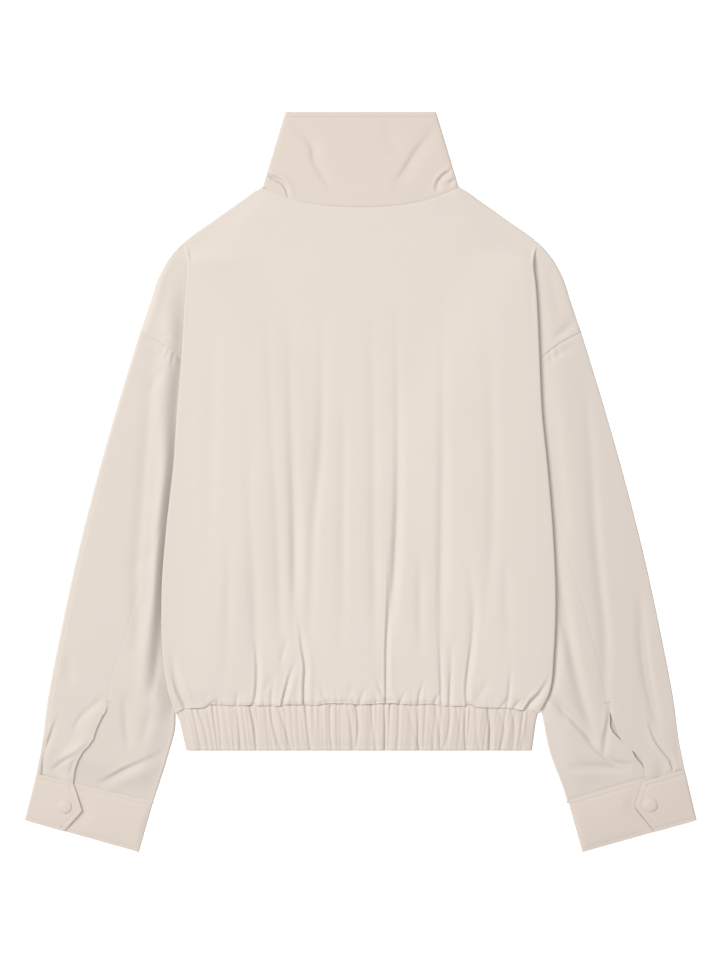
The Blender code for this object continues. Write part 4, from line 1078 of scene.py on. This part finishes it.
def collarFront(x, level, half, up, end):
    # its front rises from the neck seam to a top edge that dips at the centre
    radius = (levels["collar"] - levels["floor"]) / 2
    seam = seamAt("frontNeck", x) + 0.7 * mm
    dip = collarShape["frontDip"] * mm * (1 - ease(np.abs(x) / half))
    # the first row lies inside, over the front's neck edge
    tuck = (up == 0) * ease((half - radius - 3 * mm - np.abs(x)) / (9 * mm))
    y = seam + (lines["collarTop"] - dip - seam) * up + end - 2.2 * mm * tuck
    return np.column_stack([x, y, level + 1.25 * mm * tuck])


def makeCollar():
    # one funnel band: from its end inside the centre front, round the back, to its outer end
    floor, top, sideSeam = levels["floor"], lines["collarTop"], outline["neck"]["y"][-1]
    radius = (levels["collar"] - floor) / 2
    inner, low = np.array(collarShape["innerEnd"]) * mm, collarShape["halfLow"]
    innerLevel = floor + (levels["overlap"] - floor) * ease((inner + 25 * mm) / (6 * mm))
    rows = []
    leftCount, rightCount, backCount = collarShape["columns"]
    turn = np.linspace(np.pi, 0, 10)
    for up in finer(collarShape["rows"], 4):
        half = (low + (collarShape["halfTop"] - low) * up) * mm - wall / 2
        end = seamGap * (up == 0) - wall / 2 * (up == 1)
        leftFront = -np.linspace(32 * mm, half - radius - 3 * mm, leftCount)
        rightFront = np.linspace(half - radius - 3 * mm, -14 * mm, rightCount)
        rollX, rollZ = halfTurn(half, radius, turn)
        sideY = sideSeam + (top - sideSeam) * up + end
        leftRoll = np.column_stack([-rollX, np.full(len(turn), sideY), rollZ])
        x = np.linspace(-1, 1, backCount) * (half - radius - 2.5 * mm)
        y = seamAt("neck", x)
        y = y + (top - y) * up + end
        rows.append(np.concatenate([
            collarFront(inner, innerLevel, half, up, end), collarFront(leftFront, floor, half, up, end),
            leftRoll, np.column_stack([x, y, collarBackHeight(x, y, half)]), leftRoll[::-1] * (-1, 1, 1),
            collarFront(rightFront, floor, half, up, end)]))
    return clothPiece("collarShell", np.array(rows), "collar", material=trimCloth)


collarShell = makeCollar()

band = {
    "frontGather": 9, "ridge": 0.9, "depth": 50 * mm, "sewn": 0.9,
    "rows": (0, .02, .05, .2, .4, .6, .8, .9, .96, .985, 1),
    "innerEnd": (14, 7, 0, -8, -15, -20, -24), "outerEnd": (15, 5, -5, -14), "columns": 380,
    # a crease's depth, its widths on the left and right, and the lip beside it: height, distance, width
    "trough": 1.5, "steep": 1.05, "gentle": 2.3, "lip": (0.22, 4.2, 2.2),
    # pressed lines: place down the band and depth
    "pressed": ((0.9, 0.35), (0, 1.7), (1, 0.4)),
    # creases: picture place at the top, the middle and the lower edge, and depth
    "creases": np.array((
        (182, 187, 191, .7), (186, 192, 198, .5), (191, 196, 201, .7), (197, 204, 208, .8),
        (212, 215, 218, 1.0), (217, 219, 221, 1.0), (232, 233, 234, .5), (236, 239, 240, .8),
        (246, 249, 252, .5), (249, 254, 256, 1.7), (265, 269, 272, .7), (270, 273, 281, 1.0),
        (277, 285, 291, .9), (283, 289, 295, .5), (298, 303, 306, .5), (305, 307, 310, 1.7),
        (313, 312, 313, .5), (319, 319, 320, .5), (327, 327, 328, .4), (330, 330, 332, .8),
        (340, 340, 341, .5), (347, 351, 352, .7), (356, 358, 355, 1.3), (369, 369, 368, .4),
        (371, 373, 376, .8), (384, 385, 385, 1.0), (390, 389, 388, .8), (398, 398, 396, .5),
        (406, 413, 420, .6), (417, 418, 419, .9), (424, 430, 434, .4), (435, 439, 441, .9),
        (450, 449, 443, .8), (456, 460, 462, .4), (465, 465, 466, 1.3), (470, 469, 468, .8),
        (477, 476, 479, .4), (488, 490, 490, 1.6), (497, 505, 500, 1.1), (511, 515, 513, .8),
        (523, 522, 521, .7), (528, 527, 526, .6))),
}


def bandScale(x, down):
    # how far the band has drawn in at a place down it
    return bySide(x, lambda side: 1 + (bandHalf[side][1] / bandHalf[side][0] - 1) * down)


def bandHeight(x, down):
    # swellings between thin creases that lean and curve, a sewn channel and pressed edges
    z = levels["band"] + 0.7 * gatherWave(x) + 0.6 * mm * np.sin(np.pi * np.clip(down / 0.9, 0, 1))
    place = x * bandScale(x, down)
    lipHeight, lipPlace, lipWidth = band["lip"]
    for topX, middleX, lowX, deep in band["creases"]:
        middle = curve(np.array([down]), [0, 0.5, 1], [topX, middleX, lowX])[0]
        away = (place - (middle - pictureCentre[0]) * pixel) / mm
        wide = np.where(away > 0, band["gentle"], band["steep"]) * (0.8 + 0.25 * deep)
        fade = 0.75 + 0.25 * np.sin(2.2 * down + 1.7 * topX)
        z = z - band["trough"] * deep * mm * fade * bell(away, wide)
        z = z + lipHeight * deep * mm * bell(away - lipPlace, lipWidth)
    z = z + 0.10 * mm * np.sin(x * 2 * np.pi / (5.3 * mm) + 3 * np.sin(x / (23 * mm)) + 2.5 * down)
    for place, deep in band["pressed"]:
        z = z - deep * mm * bell((down - place) * band["depth"], 1.5 * mm)
    return z


def makeBand():
    # one gathered band: from its end inside the centre front, round the back, to its outer end
    floor = levels["floor"]
    places = np.linspace(-195 * mm, 187 * mm, band["columns"])
    under = np.arange(overlap + 12 * mm, 186 * mm, band["frontGather"] * mm / 6)
    wave = band["ridge"] * mm * 0.5 * (1 - np.cos(np.linspace(0, len(under) / 6, len(under)) * 2 * np.pi))
    start = np.array(band["innerEnd"]) * mm
    startLevel = floor + (levels["overlap"] - floor) * ease((start + 24 * mm) / (8 * mm))
    radius = (levels["band"] - floor) / 2
    rim = ease((places + 196 * mm) / (5 * mm)) * ease((188 * mm - places) / (5 * mm))
    rows = []
    for down in np.append(-0.05, finer(band["rows"], 2)):
        half = {side: top + (low - top) * down - wall / 2 for side, (top, low) in bandHalf.items()}
        scale = {side: half[side] / bandHalf[side][0] for side in sides}
        turn = np.linspace(np.pi, 0, 12)
        (leftX, rollZ), (rightX, _) = (halfTurn(half[side], radius, turn) for side in sides)
        x = np.concatenate([start, -under * scale["left"], -leftX, places * bySide(places, scale.get),
                            rightX[::-1], under[::-1] * scale["right"], np.array(band["outerEnd"]) * mm])
        z = np.concatenate([startLevel, floor + wave, rollZ,
                            levels["band"] + (bandHeight(places, down) - levels["band"]) * rim,
                            rollZ[::-1], floor + wave[::-1], np.full(len(band["outerEnd"]), floor)])
        onTop = z > floor + 3.5 * mm
        if down < 0:                 # this row lies inside the body
            z = z - 1.3 * mm * np.clip((z - floor) / (2.2 * mm) - 1, -1, 1)
        y = lines["hemSeam"] + (lines["hem"] - lines["hemSeam"]) * down + wall / 2 * (down == 1)
        y = y + np.where(onTop, seamShift(x), 0) * ease((0.5 - down) / 0.5)
        rows.append(np.stack([x, y, z], axis=-1))
    return clothPiece("hemBandShell", np.array(rows)[::-1], "hem_band", material=trimCloth)


hemBandShell = makeBand()


def cuffRun(side, across, down, height, half):
    # a sewn run on the cuff; it follows the top seam's climb
    x, y = cuffPlan(down, across).T
    return sewnRun(side, x, y + seamRise(side, half, across) * (1 - down), height)


def sewnRun(side, x, y, z):
    # a run just above the cloth
    sign = -1 if side == "left" else 1
    return np.column_stack([sign * x, y, z + wall / 2 + 0.02 * mm])


def sewRuns():
    t = np.linspace(0, 1, 60)
    # collar: one row below the top edge
    x = np.linspace(-1, 1, 90) * (collarShape["halfTop"] - 3.4) * mm
    y = np.full(90, lines["collarTop"] - collarShape["sewn"])
    runs = [sewnRun("right", x, y, collarBackHeight(x, y, (collarShape["halfTop"] + 1.5) * mm))]
    # hem band: one row in the channel above the lower edge
    x, down = np.linspace(-190 * mm, 183 * mm, 500), band["sewn"]
    y = np.full(500, lines["hemSeam"] - band["depth"] * down)
    runs.append(sewnRun("right", x * bandScale(x, down), y, bandHeight(x, down)))
    for side in sides:
        for down in cuffShape["sewn"]:
            tip = float(tabEnd(side, down))
            across = 0.03 + (tip - 0.03 - 0.03) * t
            height = lapLevel(across, down) + sewnChannel(across, down)
            runs.append(cuffRun(side, across, down, height, "top"))
            across = tip + 0.03 + (0.975 - tip - 0.03) * t
            runs.append(cuffRun(side, across, down, underLevel(across, down, tip), "under"))
        # the tab's pointed end, sewn 5 mm inside its edge
        (first, last), turn = cuffShape["sewn"], cuffShape[side][1][0]
        for start, end in ((first, turn), (turn, last)):
            down = start + (end - start) * t
            across = tabEnd(side, down) - cuffShape["inside"]
            height = lapLevel(across, down) - cuffShape["channelDrop"]
            runs.append(cuffRun(side, across, down, height, "top"))
        # a short dense bar across the top of the slit
        v = sleeve["slitTop"] - 0.002
        across = float(np.interp(v, *sleeve[side].T)) + np.linspace(-0.02, 0.03, 60)
        for row in range(3):
            x, y, z = sleeveSurface(side, v + 0.0012 * row, across, 0.0)
            runs.append(sewnRun(side, x, y, z + 0.25 * mm))
    return runs


topStitching = stitches("topStitching", sewRuns(), stitchLook)
print("sewing ready")


studio = {
    # soft boxes: power, side and place of the key far to the upper left and of a near one over the middle
    "boxes": ((390.0, 3.3, (-4.4, 2.5, 5.1)), (13.6, 0.9, (-0.10, 0.0, 1.75))),
    "sky": 0.415, "lightTable": 0.45, "floorReach": 9.0,
}


def makeFloor():
    corners = np.array([(-1, -1, 0), (1, -1, 0), (1, 1, 0), (-1, 1, 0)]) * studio["floorReach"]
    mesh = newMesh("floor", corners - (0, 0, 0.2 * mm), [(0, 1, 2, 3)])
    floor = bpy.data.objects.new("floor", mesh)
    bpy.context.scene.collection.objects.link(floor)
    graph = Graph("paleFloor")
    place = graph.node("ShaderNodeTexCoord", output="Object")
    grain = graph.noise(place, 4.0)
    graph.feed({"Base Color": graph.mix(grain * 0.2, (0.93, 0.93, 0.93), (0.91, 0.91, 0.91)),
                "Roughness": 0.9 + grain * 0.05, "Specular IOR Level": 0.0,
                "Emission Color": (1, 1, 1, 1), "Emission Strength": studio["lightTable"]})
    mesh.materials.append(graph.material)
    return floor


def makeLight():
    # the far box falls off only a little, the near one makes the cloth's middle a little brighter
    for number, (power, size, place) in enumerate(studio["boxes"]):
        lamp = bpy.data.lights.new(f"softBox{number}", "AREA")
        lamp.energy = power
        lamp.size = size
        box = bpy.data.objects.new(f"softBox{number}", lamp)
        box.location = place
        x, y, z = place
        if number == 0:              # the far one is turned to the origin, the near one looks down
            box.rotation_euler = (0, np.arctan2(np.hypot(x, y), z), np.arctan2(y, x))
        box.visible_camera = False
        bpy.context.scene.collection.objects.link(box)
    world = bpy.data.worlds.new("studio")
    world.use_nodes = True
    world.node_tree.nodes["Background"].inputs["Color"].default_value = (1.0, 1.0, 1.0, 1)
    world.node_tree.nodes["Background"].inputs["Strength"].default_value = studio["sky"]
    bpy.context.scene.world = world


picture = {"lens": 100.0, "sensor": 36.0, "width": 720, "height": 964, "clothLevel": 4 * mm}


def makeCamera():
    # straight above, its distance such that the picture's height covers its size on the cloth
    tall = picture["height"] * pixel
    lens = bpy.data.cameras.new("camera")
    lens.lens = picture["lens"]
    lens.sensor_width = picture["sensor"]
    camera = bpy.data.objects.new("camera", lens)
    x, y = onCloth(picture["width"] / 2, picture["height"] / 2)
    camera.location = (x, y, tall * picture["lens"] / picture["sensor"] + picture["clothLevel"])
    bpy.context.scene.collection.objects.link(camera)
    bpy.context.scene.camera = camera


makeFloor()
makeLight()
makeCamera()
view = bpy.context.scene.view_settings
view.view_transform = "Standard"
view.look = "None"
print("studio ready")
